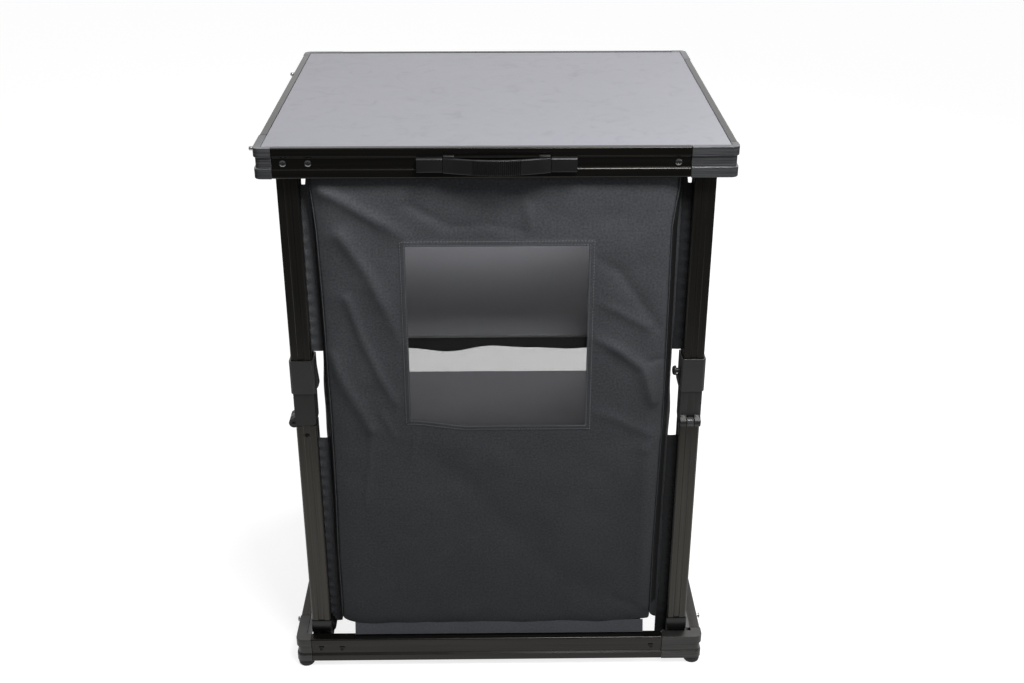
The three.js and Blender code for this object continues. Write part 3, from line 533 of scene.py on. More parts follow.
def area_light(name, place, aim, size, power):
    """A square soft box that faces a point."""
    data = bpy.data.lights.new(name, "AREA")
    data.size = size
    data.energy = power
    lamp = bpy.data.objects.new(name, data)
    lamp.location = place
    lamp.rotation_euler = (Vector(aim) - Vector(place)).to_track_quat("-Z", "Y").to_euler()
    bpy.context.scene.collection.objects.link(lamp)


make_floor()
make_world()
area_light("key_light", (0.35, -1.0, 1.95), (0, -0.2, 0.45), 0.5, 20)
area_light("fill_light", (1.7, -0.9, 1.3), (0, 0, 0.5), 1.2, 4.5)
area_light("rear_light", (1.1, 1.3, 1.9), (0, 0.2, 0.6), 0.9, 16)
bpy.context.scene.view_settings.view_transform = "Standard"


# Carried-over solids: their own shape, with small rounded edges and a finish

SHARP_ANGLE = np.radians(32)


def smoothing_group():
    """Geometry nodes that shade a mesh smooth, apart from its sharp edges."""
    group = bpy.data.node_groups.new("smooth_by_angle", "GeometryNodeTree")
    group.interface.new_socket(name="Geometry", in_out="INPUT", socket_type="NodeSocketGeometry")
    group.interface.new_socket(name="Geometry", in_out="OUTPUT", socket_type="NodeSocketGeometry")
    start = add(group, "NodeGroupInput")
    edge = add(group, "GeometryNodeInputMeshEdgeAngle")
    sharp = add(
        group, "FunctionNodeCompare", {"operation": "GREATER_THAN", 1: SHARP_ANGLE},
        {0: edge.outputs["Unsigned Angle"]},
    )
    faces = add(group, "GeometryNodeSetShadeSmooth", {"domain": "FACE"}, {"Geometry": start.outputs[0]})
    edges = add(
        group, "GeometryNodeSetShadeSmooth", {"domain": "EDGE", "Shade Smooth": False},
        {"Geometry": faces.outputs[0], "Selection": sharp.outputs[0]},
    )
    add(group, "NodeGroupOutput", links={0: edges.outputs[0]})
    return group


shading = smoothing_group()


def finish_node(name, material, edge=0.4 * MM, segments=2):
    """A CAD node with its material, welded, with flat faces joined and its edges rounded."""
    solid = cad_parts[name]
    solid.data.materials.clear()
    solid.data.materials.append(material)
    weld = solid.modifiers.new("weld", "WELD")
    weld.merge_threshold = 1e-5
    flat = solid.modifiers.new("flat_faces", "DECIMATE")
    flat.decimate_type = "DISSOLVE"
    flat.angle_limit = np.radians(0.6)
    bevel = solid.modifiers.new("round_edges", "BEVEL")
    bevel.width = edge
    bevel.segments = segments
    bevel.limit_method = "ANGLE"
    bevel.angle_limit = SHARP_ANGLE
    shade = solid.modifiers.new("shading", "NODES")
    shade.node_group = shading
    lean = solid.modifiers.new("flat_normals", "WEIGHTED_NORMAL")
    lean.keep_sharp = True


for k, side in enumerate(SIDES):
    for level in ("base", "top"):
        finish_node(f"{level}_rail_{side}", rail_along if k % 2 else rail_across, 0.45 * MM)
for corner in CORNERS:
    finish_node(f"base_corner_{corner}", base_cap_finish, 0.7 * MM, 3)
    finish_node(f"top_corner_{corner}", cap_finish, 0.7 * MM, 3)
    finish_node(f"lower_tube_{corner}", tube_finish)
    finish_node(f"upper_tube_{corner}", tube_finish)
    finish_node(f"lock_sleeve_{corner}", sleeve_finish, 1.2 * MM, 3)
finish_node("worktop", laminate, 0.5 * MM)
finish_node("upper_shelf", upper_shelf_finish, 0.8 * MM)
finish_node("lower_shelf", lower_shelf_finish, 0.8 * MM)
for end in ("left", "right"):
    finish_node(f"handle_end_{end}", handle_finish, 0.9 * MM, 3)


# Turned small parts: feet and knobs

def foot_profile(low, high, radius):
    """A rubber foot: a tapering tread, a waist line and a flat top."""
    height = high - low
    return [
        (0, low), (radius * 0.82, low), (radius * 0.9, low + 0.05 * height),
        (radius * 0.95, low + 0.14 * height), (radius * 0.99, low + 0.4 * height),
        (radius, low + 0.56 * height), (radius, high - 0.05 * height), (radius * 0.97, high), (0, high),
    ]


for corner in CORNERS:
    low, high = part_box(f"foot_{corner}")
    middle = (low + high) / 2
    points, faces = lathe(foot_profile(low.z, high.z, (high.x - low.x) / 2 + MM))
    foot = piece(f"rubber_foot_{corner}", points + np.array([middle.x, middle.y, 0]), faces,
                 rubber_finish, "base", slot="foot_rubber")
    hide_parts(f"foot_{corner}")


KNOB_PROFILE = (  # shares of the head's radius, and of its thickness from its back
    (0, -0.85), (0.52, -0.85), (0.52, 0), (0.9, 0), (0.98, 0.05), (1, 0.16), (0.99, 0.37),
    (0.94, 0.57), (0.84, 0.75), (0.68, 0.89), (0.46, 0.96), (0.2, 0.99), (0, 1),
)
HEAD_THICKNESS = 5.4 * MM
for k, corner in enumerate(CORNERS):
    low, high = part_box(f"release_knob_{corner}")
    middle = (low + high) / 2
    inward = Vector(((0, 1, 0), (-1, 0, 0), (0, -1, 0), (1, 0, 0))[k])
    radius = (high.z - low.z) / 2
    reach = abs((high - low).dot(inward)) / 2
    points, faces = lathe(np.array(KNOB_PROFILE) * (radius, HEAD_THICKNESS), 36)
    x, y, z = points.T
    across = inward.cross(Vector((0, 0, 1)))
    back = middle + inward * (reach - HEAD_THICKNESS)
    placed = np.array(back) + np.outer(x, across) + np.outer(y, (0, 0, 1)) + np.outer(z, inward)
    knob = piece(f"round_knob_{corner}", placed, faces[:, ::-1], hinge_finish, f"knob_{corner}",
                 slot="hinge_moulding")
    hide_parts(f"release_knob_{corner}")


# Fabric: the near panel

PANEL_FOLDS = (  # points as shares of the half width and the height, then width and rise in mm
    (((-1.0, 0.982), (-0.808, 0.944), (-0.647, 0.911), (-0.504, 0.876)), 11, 5.8),
    (((-0.873, 0.886), (-0.735, 0.813), (-0.633, 0.739), (-0.555, 0.67)), 12, 5.8),
    (((-0.857, 0.76), (-0.776, 0.67), (-0.689, 0.599), (-0.599, 0.541)), 8, 4.3),
    (((-0.973, 0.642), (-0.906, 0.585), (-0.817, 0.526), (-0.754, 0.485)), 12, 5.8),
    (((-0.69, 0.519), (-0.617, 0.466)), 6, 2),
    (((-0.757, 0.489), (-0.775, 0.406), (-0.82, 0.312)), 5, 1.4),
    (((-0.486, 0.481), (-0.523, 0.413)), 4, 1.2),
    (((-0.393, 0.413), (-0.56, 0.351), (-0.731, 0.288)), 5, 1.2),
    (((-0.393, 0.405), (-0.154, 0.334), (0.05, 0.246), (0.344, 0.146), (0.603, 0.077)), 35, -4.3),
    (((-0.075, 0.238), (-0.412, 0.165), (-0.629, 0.098)), 5, 1.2),
    (((-0.949, 0.087), (-0.752, 0.133)), 7, 1.7),
    (((-0.89, 0.057), (-0.691, 0.111)), 7, 1.7),
    (((0.562, 0.681), (0.709, 0.656), (0.85, 0.617), (0.919, 0.544)), 10, 7.2),
    (((0.565, 0.754), (0.7, 0.733), (0.857, 0.702)), 8, 2.9),
    (((0.548, 0.841), (0.692, 0.811), (0.792, 0.764), (0.935, 0.694)), 10, -2.9),
    (((0.575, 0.527), (0.725, 0.512), (0.91, 0.47)), 10, 3.5),
    (((0.887, 0.628), (0.974, 0.631)), 4, -2.3),
    (((0.98, 0.47), (0.895, 0.432)), 7, 2.9),
    (((-0.479, 0.943), (-0.261, 0.901), (-0.058, 0.907), (0.127, 0.894)), 9, -2.3),
    (((0.163, 0.942), (0.182, 0.904)), 8, 2),
    (((0.732, 0.068), (0.862, 0.051), (0.951, 0.024)), 10, -2.9),
    (((0.884, 0.44), (0.892, 0.308), (0.895, 0.042)), 14, 2.6),
)
PANEL_SWELL = 3.0 * MM
PANEL_FOOT = 7 * MM
FOOT_CURL = 3 * MM
CLOTH_EDGES = (  # height, then how far the left and the right edge lie from the middle, in mm
    (62, 231, 223), (110, 231, 223), (180, 231, 222.5), (282, 229, 224), (411, 228, 226),
    (590, 229, 225), (688, 231, 224), (725, 233.5, 228), (741, 235, 230.5), (760, 236, 231),
)
EDGE_TURN = 4 * MM
EDGE_BACK = 8 * MM
SHOULDER = 26 * MM
SHOULDER_DROP = 4.5 * MM
CORNERS_CUT = ((24 * MM, 10 * MM), (5 * MM, 4 * MM))  # width and height, left and right
HEM_RISE = 0.9 * MM
HEM_WIDTH = 8 * MM
SILL_BOW = 9 * MM
SILL_START = -118 * MM
SILL_RAMP = 80 * MM
SILL_REACH = 230 * MM
# Over these distances the relief grows from the window, the side edges and the top; the foot curls in
WINDOW_CALM = 46 * MM
EDGE_CALM = 14 * MM
TOP_CALM = 30 * MM
FOOT_REACH = 30 * MM
panel_height = panel_high.z - panel_low.z


def path_distance(x, z, path):
    """Distance of points to a broken line: the least over its stretches, each clamped at its ends."""
    least = np.full(np.shape(x), np.inf)
    for (ax, az), (bx, bz) in zip(path[:-1], path[1:]):
        dx, dz = bx - ax, bz - az
        along = np.clip(((x - ax) * dx + (z - az) * dz) / (dx * dx + dz * dz), 0, 1)
        least = np.minimum(least, np.hypot(x - ax - along * dx, z - az - along * dz))
    return least


def soft_waves(x, z, longest, rise, seed, count=26):
    """A sum of sine waves in random directions, with wavelengths from a third of the longest up."""
    random = np.random.default_rng(seed)
    total = np.zeros(np.shape(x))
    for _ in range(count):
        wavelength = longest * random.uniform(0.33, 1)
        angle, phase = random.uniform(0, np.pi), random.uniform(0, 2 * np.pi)
        turn = 2 * np.pi / wavelength
        total += wavelength * np.sin(turn * (x * np.cos(angle) + z * np.sin(angle)) + phase)
    return rise * total / (longest * np.sqrt(count))


def window_distance(x, z):
    """Distance outwards from the window's edge, negative inside it."""
    return np.maximum(np.abs(x) - window_half, np.maximum(z - window_top, window_bottom - z))


def cloth_edge(x, z):
    """How far the near panel's edge lies from its middle, on the side of x, at height z."""
    heights, left, right = np.array(CLOTH_EDGES, float).T * MM
    return np.where(np.asarray(x) < 0, np.interp(z, heights, left), np.interp(z, heights, right))


def panel_relief(x, z):
    """How far the near panel stands forward of its plane at x from its middle and height z."""
    relief = soft_waves(x, z, 150 * MM, 1.3 * MM, 4)
    relief += soft_waves(x, z, 46 * MM, 0.35 * MM, 9)
    for path, width, rise in PANEL_FOLDS:
        placed = [(u * panel_half, panel_low.z + v * panel_height) for u, v in path]
        away = path_distance(x, z, placed) / (width * MM)
        relief += rise * MM / (1 + away ** 2) ** 1.5
    across = 1 - np.minimum(np.abs(x) / panel_half, 1) ** 4
    up = np.clip((z - panel_low.z) / panel_height, 0, 1)
    swell = PANEL_SWELL * across * np.sin(np.pi * up) ** 0.5
    outside = window_distance(x, z)
    calm = 0.22 + 0.78 * smooth(outside / WINDOW_CALM)
    hem = HEM_RISE * smooth((HEM_WIDTH - outside) / (1.6 * MM)) * smooth(outside / MM + 1)
    inside = cloth_edge(x, z) - np.abs(x)
    edge = smooth(inside / EDGE_CALM)
    top = smooth((panel_high.z - z) / TOP_CALM)
    foot = FOOT_CURL * np.clip(1 - (z - panel_low.z - PANEL_FOOT) / FOOT_REACH, 0, 1) ** 2
    drop = SHOULDER_DROP * np.clip(1 - inside / SHOULDER, 0, 1) ** 2
    return (relief * calm * (0.35 + 0.65 * edge) + swell) * (0.15 + 0.85 * top) + hem - drop - foot


def panel_spot(x, z):
    """Where a point of the flat panel lies: sides turned back on an arc, and the window's sill bowed."""
    inner = cloth_edge(x, z) - EDGE_TURN
    past = np.abs(x) - inner
    turn = np.pi / 2 * np.clip(past / EDGE_TURN, 0, 1)
    moved_x = np.sign(x) * (np.minimum(np.abs(x), inner) + EDGE_TURN * np.sin(turn))
    sill = SILL_BOW * smooth((x - SILL_START) / SILL_RAMP)
    reach = np.where(z < window_bottom, SILL_REACH, window_top - window_bottom)
    fade = np.clip(1 - np.abs(z - window_bottom) / reach, 0, 1)
    moved_z = z - sill * fade ** 2 * smooth((panel_half - np.abs(x)) / (60 * MM))
    back = EDGE_TURN * (1 - np.cos(turn)) + np.clip(past - EDGE_TURN, 0, None)
    y = panel_plane - 2 * MM - panel_relief(x, z) + back
    return np.stack([centre.x + moved_x, y, moved_z], -1)


def lines_between(stops, step):
    """Values from the first stop to the last that pass through every stop, about one step apart."""
    parts = [
        np.linspace(a, b, max(int(round((b - a) / step)), 1), endpoint=False)
        for a, b in zip(stops[:-1], stops[1:])
    ]
    return np.concatenate([*parts, [stops[-1]]])


def make_near_panel():
    """The panel: a cloth grid through the window's edges, with round lower corners."""
    zs = lines_between([panel_low.z + PANEL_FOOT, window_bottom, window_top, panel_high.z], 2.8 * MM)
    flat_edge = [EDGE_TURN + EDGE_BACK / 2, EDGE_TURN + EDGE_BACK]
    turned = np.concatenate([np.linspace(0, EDGE_TURN, 6)[1:], flat_edge])
    middle = lines_between([-window_half, window_half], 2.6 * MM)
    share = np.linspace(0, 1, 42)[1:]
    rows = []
    for z in zs:
        left, right = [cloth_edge(sign, z) - EDGE_TURN for sign in (-1, 1)]
        rows.append(np.concatenate([
            -left - turned[::-1], (-window_half - (left - window_half) * share)[::-1], middle,
            window_half + (right - window_half) * share, right + turned,
        ]))
    x = np.array(rows)
    z = zs[:, None] + 0 * x
    width, height = [np.where(x < 0, *pair) for pair in zip(*CORNERS_CUT)]
    into = np.clip(np.abs(x) - cloth_edge(x, z) + width, 0, width)
    low_share = np.clip((window_bottom - z) / (window_bottom - panel_low.z - PANEL_FOOT), 0, 1)
    z = z + height * (1 - np.sqrt(1 - (into / width) ** 2)) * low_share ** 3
    xs = x[len(x) // 2]
    cell_x, cell_z = np.meshgrid((xs[1:] + xs[:-1]) / 2, (zs[1:] + zs[:-1]) / 2)
    panel = sheet_piece("near_cloth", panel_spot(x, z), (0, 1.2 * MM, 0), np.stack([x, z], -1), cloth,
                        cells=window_distance(cell_x, cell_z) > 0)
    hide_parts("near_panel")
    return panel


def repeated(one, count):
    """The faces of equal parts, one after the other, from those of the first."""
    return (one[None] + (one.max() + 1) * np.arange(count)[:, None, None]).reshape(-1, 4)


def stitch_row(path, pitch, length, width):
    """A row of stitches on the panel along (x, z) points: each a spindle of five rings of six points."""
    path = np.asarray(path, float)
    gaps = np.hypot(*np.diff(path, axis=0).T)
    run = np.concatenate([[0], np.cumsum(gaps)])
    middles = np.arange(pitch / 2, run[-1], pitch)
    along = np.array([-0.5, -0.32, 0, 0.32, 0.5]) * length
    size = np.array([0.25, 0.85, 1, 0.85, 0.25]) * width / 2
    at = middles[:, None] + along
    x, z = np.interp(at, run, path[:, 0]), np.interp(at, run, path[:, 1])
    heading = np.stack([np.gradient(x, axis=1), np.gradient(z, axis=1)], -1)
    heading /= np.linalg.norm(heading, axis=-1, keepdims=True)
    turn = np.arange(6) * np.pi / 3
    side = size[:, None] * np.cos(turn)
    rise = size[:, None] * np.sin(turn)
    spot = panel_spot(x, z)[:, :, None, :] + np.zeros((1, 1, 6, 1))
    spot[..., 0] -= heading[:, :, None, 1] * side
    spot[..., 2] += heading[:, :, None, 0] * side
    spot[..., 1] -= rise + 0.15 * width
    ends = np.array([[0, 1, 2, 3], [0, 3, 4, 5], [27, 26, 25, 24], [29, 28, 27, 24]])
    one = np.concatenate([grid_faces(5, 6, wrap_columns=True), ends[:, ::-1]])
    return spot.reshape(-1, 3), repeated(one, len(middles))


def window_loop(out):
    """A rectangle round the window, out from its edge, with fine steps."""
    left, right = -window_half - out, window_half + out
    low, high = window_bottom - out, window_top + out
    steps = np.linspace(0, 1, 60)
    corners = [(left, low), (right, low), (right, high), (left, high), (left, low)]
    parts = [
        np.stack([a[0] + (b[0] - a[0]) * steps, a[1] + (b[1] - a[1]) * steps], 1)
        for a, b in zip(corners[:-1], corners[1:])
    ]
    return np.concatenate(parts)


near_cloth = make_near_panel()
rows = [stitch_row(window_loop(out * MM), 4.2 * MM, 2.7 * MM, 0.8 * MM) for out in (1.6, 6.8)]
window_stitches = piece("window_stitches", *joined(rows), stitch_finish, "base", slot="cupboard_cloth")


# Fabric: the window net, from real strands

NET_PITCH = 1.05 * MM
NET_STRAND = 0.36 * MM
NET_LAP = 5 * MM


def net_depth(x, z):
    """Soft slanting creases in the net, inwards of its plane."""
    creases = soft_waves(x, z, 120 * MM, 0.5 * MM, 21)
    return 1.2 * MM + creases * smooth(-window_distance(x, z) / (30 * MM))


def strands(first, last, low, high, upright):
    """Parallel strands one pitch apart: tubes of 15 rings of four points that follow the creases."""
    count = int(round((last - first) / NET_PITCH)) + 1
    along, across = np.meshgrid(np.linspace(low, high, 15), np.linspace(first, last, count))
    x, z = (across, along) if upright else (along, across)
    sill = panel_spot(x, z)[..., 2] - z
    middle = np.stack([centre.x + x, net_low.y + net_depth(x, z), z + sill], -1)
    half = NET_STRAND / 2
    side = np.array([half, 0, 0]) if upright else np.array([0, 0, half])
    depth = np.array([0, half, 0])
    points = middle[:, :, None, :] + np.array([side, depth, -side, -depth])
    caps = np.array([[0, 1, 2, 3], [59, 58, 57, 56]])
    one = np.concatenate([grid_faces(15, 4, wrap_columns=True), caps[:, ::-1]])
    if upright:
        one = one[:, ::-1]
    return points.reshape(-1, 3), repeated(one, count)


net_across = (-window_half - NET_LAP, window_half + NET_LAP)
net_upright = (window_bottom - NET_LAP, window_top + NET_LAP)
net_rows = joined([strands(*net_across, *net_upright, True), strands(*net_upright, *net_across, False)])
window_net = piece("window_net", *net_rows, net_finish, "base", slot="window_net")
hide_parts("window_mesh")


# Fabric: side panels and the strips that reach the legs

SIDE_REACH = 235.5 * MM
SIDE_NAMES = {-1: "left", 1: "right"}
SIDE_BELLY = 4.5 * MM
SIDE_TENSION = 0.8 * MM
SIDE_CORNER_CUT = (55 * MM, 48 * MM)  # width and height of the round lower front corner
SHADE_BAND_LEVELS = (98 * MM, 758 * MM)


def side_profile(side, inset, z):
    """A side cloth's distance from the middle: it starts inside the panel's edge and moves out."""
    edge = cloth_edge(side, z) - MM
    return edge + (SIDE_REACH - edge) * smooth((inset - 3 * MM) / (20 * MM)) ** 0.7


def make_side_panel(side):
    """A side cloth that bellies out between the shelves that spread it: a sine in each bay."""
    name = SIDE_NAMES[side]
    low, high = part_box(f"side_panel_{name}")
    shelf_levels = [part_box(shelf)[1].z for shelf in ("lower_shelf", "upper_shelf")]
    stops = [low.z, *shelf_levels, high.z]
    half = (high.y - low.y) / 2
    ys = half * np.sin(np.pi / 2 * np.linspace(-1, 1, 100))
    y, z = np.meshgrid(ys, lines_between(stops, 5 * MM))
    bay = np.clip(np.searchsorted(stops, z, "right") - 1, 0, 2)
    start, end = np.array(stops)[bay], np.array(stops)[bay + 1]
    share = (z - start) / (end - start)
    belly = SIDE_BELLY * np.sin(np.pi * share) * (1 - (y / half) ** 4)
    tension = SIDE_TENSION * np.sin(2 * np.pi * y / (70 * MM)) * np.exp(-share * (1 - share) * 14)
    relief = belly + tension + soft_waves(y, z, 130 * MM, 1.0 * MM, 31 + side)
    relief *= smooth((half - np.abs(y)) / (30 * MM))
    x = centre.x + side * (side_profile(side, half - np.abs(y), z) + relief)
    corner = 1 - np.clip((half + y) / SIDE_CORNER_CUT[0], 0, 1)
    share_down = np.clip((high.z - z) / (high.z - low.z), 0, 1)
    z = z + SIDE_CORNER_CUT[1] * (1 - np.sqrt(1 - corner ** 2)) * share_down ** 4
    points = np.stack([x, centre.y + y, z], -1)
    panel = sheet_piece(f"side_cloth_{name}", points, (side * 1.0 * MM, 0, 0), np.stack([y, z], -1),
                        cloth, flip=side > 0)
    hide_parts(f"side_panel_{name}")
    return panel


def make_shade_band(side):
    """A black band over the seam between a side cloth and the near panel, a little outside both: painted
    shade, a dark sheet put where that gap lies in shadow.
    """
    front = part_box("side_panel_left")[0].y
    inset, z = np.meshgrid(np.linspace(1 * MM, 12 * MM, 9), np.linspace(*SHADE_BAND_LEVELS, 130))
    x = side_profile(side, inset, z) + 2 * MM
    points = np.stack([centre.x + side * x, front + inset, z], -1)
    return sheet_piece(f"painted_shade_band_{SIDE_NAMES[side]}", points, (-side * 0.6 * MM, 0, 0),
                       np.stack([inset, z], -1), cloth_dark, flip=side > 0)


FLAP_Y = 221 * MM
FLAPS = {"upper": (507 * MM, 742 * MM), "lower": (59 * MM, 373 * MM)}
FLAP_WIDTH = 18 * MM
LEG_FACE = 250.2 * MM
NOTCH = 11 * MM


def make_flap(side, end, level):
    """A narrow strip from the cupboard's corner to a leg, puckered along the leg side."""
    low, high = FLAPS[level]
    if level == "lower" and side > 0 and end < 0:
        low = base_top - 16 * MM
    u, z = np.meshgrid(np.linspace(0, 1, 15), lines_between([low, high], 2.2 * MM))
    if level == "upper":
        z = z + NOTCH * (1 - smooth((u - 0.45) / 0.14)) * (z - low) / (high - low)
    start = SIDE_REACH - 1.5 * MM
    pull = 0.8 * MM * np.sin(2 * np.pi * z / (31 * MM) + side)
    x = start + (LEG_FACE - start) * u + pull * u * (1 - u)
    wave = np.sin(2 * np.pi * z / (17 * MM) + 1.3 * np.sin(z / (37 * MM) + 2 * side + end))
    y = FLAP_Y + 0.6 * MM * wave * u ** 0.7 + 0.9 * MM * np.sin(np.pi * u)
    points = np.stack([centre.x + side * x, centre.y + end * y, z], -1)
    name = f"leg_strip_{('front', 'rear')[end > 0]}_{SIDE_NAMES[side]}_{level}"
    return sheet_piece(name, points, (0, -end * 0.9 * MM, 0), np.stack([u * FLAP_WIDTH, z], -1),
                       strip_cloths[side], flip=side * end > 0)


side_cloths = {side: make_side_panel(side) for side in (-1, 1)}
# Painted shade: black bands that darken the gap beside the near panel's edges.
shade_bands = [make_shade_band(side) for side in (-1, 1)]
flaps = {
    (side, end, level): make_flap(side, end, level)
    for side in (-1, 1) for end in (-1, 1) for level in FLAPS
}


# Fabric: the door, rolled up under the rear rail and tied in two places

ROLL_PITCH = 1.4 * MM
ROLL_CORE = 2 * MM
TIE_PLACE = 112 * MM
TIE_REACH = 14 * MM


def make_door_roll():
    """A spiral of cloth: radius grows by one pitch a turn, and the ties draw it in."""
    low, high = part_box("door_roll")
    middle = (low + high) / 2
    radius_y, radius_z = (high.y - low.y) / 2, (high.z - low.z) / 2
    turns = (1 - ROLL_CORE / radius_y) * (radius_y + radius_z) / 2 / ROLL_PITCH
    angle = np.linspace(0, 2 * np.pi * turns, int(turns * 26))
    half = (high.x - low.x) / 2
    inner, outer = TIE_PLACE - TIE_REACH, TIE_PLACE + TIE_REACH
    x, turn = np.meshgrid(lines_between([-half, -outer, -inner, inner, outer, half], 9 * MM), angle)
    share = turn / angle[-1]
    size = ROLL_CORE / radius_y + (1 - ROLL_CORE / radius_y) * share
    pinch = 1 - 0.19 * np.exp(-2 * ((np.abs(x) - TIE_PLACE) / (13 * MM)) ** 2)
    lumps = 1 + 0.035 * share * np.sin(3 * turn + x / (60 * MM))
    lumps += 0.012 * np.sin(x / (11 * MM) + 5 * share)
    reach = size * pinch * lumps * 0.965
    telescoped = x * (1 - 0.012 * (1 - share)) + 3 * MM * share * np.sin(turn / 3)
    y = middle.y + radius_y * reach * np.cos(turn + 0.8)
    z = middle.z + radius_z * reach * np.sin(turn + 0.8)
    points = np.stack([centre.x + np.clip(telescoped, -half, half), y, z], -1)
    run = np.concatenate([[0], np.cumsum(np.hypot(np.diff(y[:, 0]), np.diff(z[:, 0])))])
    uv = np.stack([x, run[:, None] + 0 * x], -1)
    inward = np.stack([0 * x, middle.y - y, middle.z - z], -1)
    inward *= 0.7 * MM / np.maximum(np.linalg.norm(inward, axis=-1, keepdims=True), 1e-6)
    roll = sheet_piece("rolled_door", points, inward, uv, cloth)
    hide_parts("door_roll")
    across = np.array([[-6], [-5.6], [5.6], [6]]) * MM
    thick = np.array([[0], [1], [1], [0]]) * 0.9 * MM
    around = np.linspace(0, 2 * np.pi, 48, endpoint=False)
    ties = []
    for side in (-1, 1):
        ring = np.stack([
            centre.x + side * TIE_PLACE + across + 0 * around,
            middle.y + (radius_y * 0.8 + thick) * np.cos(around),
            middle.z + (radius_z * 0.8 + thick) * np.sin(around),
        ], -1)
        ties.append((ring, grid_faces(4, 48, True, True)))
    points, faces = joined(ties)
    straps = piece("door_ties", points, faces, cloth_dark, "base", points[:, :2], slot="cupboard_cloth")
    return roll, straps


door_roll, door_ties = make_door_roll()


# Fabric: floor cloth, with its front edge turned up on the base rail

FRONT_FLAP = 20 * MM
FLOOR_SAG = 4.5 * MM


def make_floor_cloth():
    """A slack floor that sags by a parabola each way; its front edge stands up behind the near panel."""
    low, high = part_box("floor_cloth")
    half_x, half_y = (high.x - low.x) / 2, (high.y - low.y) / 2
    turned = -half_y - np.linspace(FRONT_FLAP, 2 * MM, 5)
    x, y = np.meshgrid(
        np.linspace(-half_x, half_x, 110), np.concatenate([turned, np.linspace(-half_y, half_y, 120)])
    )
    up = np.clip(-half_y - y, 0, None)
    laid = np.clip(y, -half_y, half_y)
    dip = (1 - (x / half_x) ** 2) * (1 - (laid / half_y) ** 2)
    z = base_top - FLOOR_SAG * dip + soft_waves(x, y, 140 * MM, 0.8 * MM, 17) * np.sqrt(np.abs(dip))
    lean = 0.5 * MM * np.sin(x / (17 * MM)) * up / FRONT_FLAP
    tilt = np.where(up > 0, (up - FRONT_FLAP) * 0.35 + MM, 0)
    points = np.stack([centre.x + x, centre.y + laid + tilt + lean, z - 0.2 * MM + up], -1)
    inward = np.where(up[..., None] > 0, np.array([0, MM, 0]), np.array([0, 0, -MM]))
    floor = sheet_piece("floor_lining", points, inward, np.stack([x, y], -1), cloth_pale,
                        slot="floor_lining")
    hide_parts("floor_cloth")
    return floor


floor_lining = make_floor_cloth()


# Shelves: the bright strip on each front edge and the black hem that hangs under it

def make_shelf_trim(node):
    """A bright edging along the shelf's near edge, and a loose hem with a wavy lower edge."""
    low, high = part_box(node)
    half = (high.x - low.x) / 2
    near = low.y
    ahead, level = near - 1.4 * MM, (low.z + high.z) / 2
    out, up = rounded_outline(1.1 * MM, (high.z - low.z) / 2, 0.5 * MM, 4).T
    rings = [
        np.column_stack([centre.x + end + 0 * out, ahead + size * out, level + size * up])
        for end, size in ((-half, 0), (-half, 1), (half, 1), (half, 0))
    ]
    strip = piece(f"{node}_strip", rings, grid_faces(4, len(out), wrap_columns=True)[:, ::-1],
                  strip_finish, node, slot="bright_steel")
    x, v = np.meshgrid(np.linspace(-half, half, 180), np.linspace(0, 1, 9))
    swing = 4.3 * MM * np.exp(-((x + 60 * MM) / (120 * MM)) ** 2)
    drop = 16.5 * MM + swing * np.cos(2 * np.pi * (x + 75 * MM) / (166 * MM))
    drop += 0.8 * MM * np.sin(x / (13 * MM))
    y = near - 0.4 * MM + 1.6 * MM * v * np.sin(x / (21 * MM)) + 1.2 * MM * v
    points = np.stack([centre.x + x, y, low.z - 0.2 * MM - drop * (1 - v)], -1)
    hem = sheet_piece(f"{node}_hem", points, (0, 0.8 * MM, 0), points[..., (0, 2)], cloth_dark, node)
    return strip, hem


trims = {node: make_shelf_trim(node) for node in ("upper_shelf", "lower_shelf")}


# Carry strap, with its ribs and the two keepers

RIB_PITCH = 2.5 * MM
RIB_RISE = 1.1 * MM
STRAP_BOW = 14.5 * MM


def make_strap():
    """A band whose middle line is a parabola; fine ribs stand across its middle."""
    low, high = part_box("handle_grip")
    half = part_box("handle_end_right")[0].x - centre.x
    middle_z = (low.z + high.z) / 2
    face = centre.y - half_depth
    seat = face - 2.1 * MM
    reach = half - 0.6 * MM
    x = lines_between([-reach, -32 * MM, 32 * MM, reach], 0.62 * MM)
    share = x / half
    inner = seat - STRAP_BOW * np.clip(1 - share ** 2, 0, 1)
    thick = 4.4 * MM + 3.4 * MM * np.abs(share) ** 3
    rib = RIB_RISE * smooth(0.5 + 1.6 * np.cos(2 * np.pi * x / RIB_PITCH))
    rib *= smooth((30.5 * MM - np.abs(x)) / (0.8 * MM))
    tall = 9.5 * MM - 0.5 * MM * np.clip(1 - (reach - np.abs(x)) / (0.7 * MM), 0, 1)
    depth_share, rise_share = rounded_outline(1, 1, 0.2).T
    outer = 0.5 + 0.5 * depth_share
    y = inner[:, None] - (thick[:, None] + rib[:, None] * (depth_share > 0.5)) * outer
    z = middle_z + tall[:, None] * rise_share
    grid = np.stack([centre.x + x[:, None] + 0 * y, y, z], -1)
    ends = [np.tile(grid[i].mean(0), (len(outer), 1)) for i in (0, -1)]
    rings = np.array([ends[0], *grid, ends[1]])
    strap = piece("carry_strap", rings, grid_faces(len(rings), len(outer), wrap_columns=True),
                  handle_finish, "handle", slot="handle_moulding")
    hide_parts("handle_grip")
    keepers = []
    for side in (-1, 1):
        points, faces = soft_block(7 * MM, 3.4 * MM, 8.6 * MM, 12.4 * MM, 1.2 * MM, 0.7 * MM)
        place = np.array([centre.x + side * (half - 8 * MM), seat - 4.6 * MM, middle_z])
        keepers.append((points + place, faces))
    piece("strap_keepers", *joined(keepers), handle_finish, "handle", slot="handle_moulding")


make_strap()


# Screws, studs and pegs

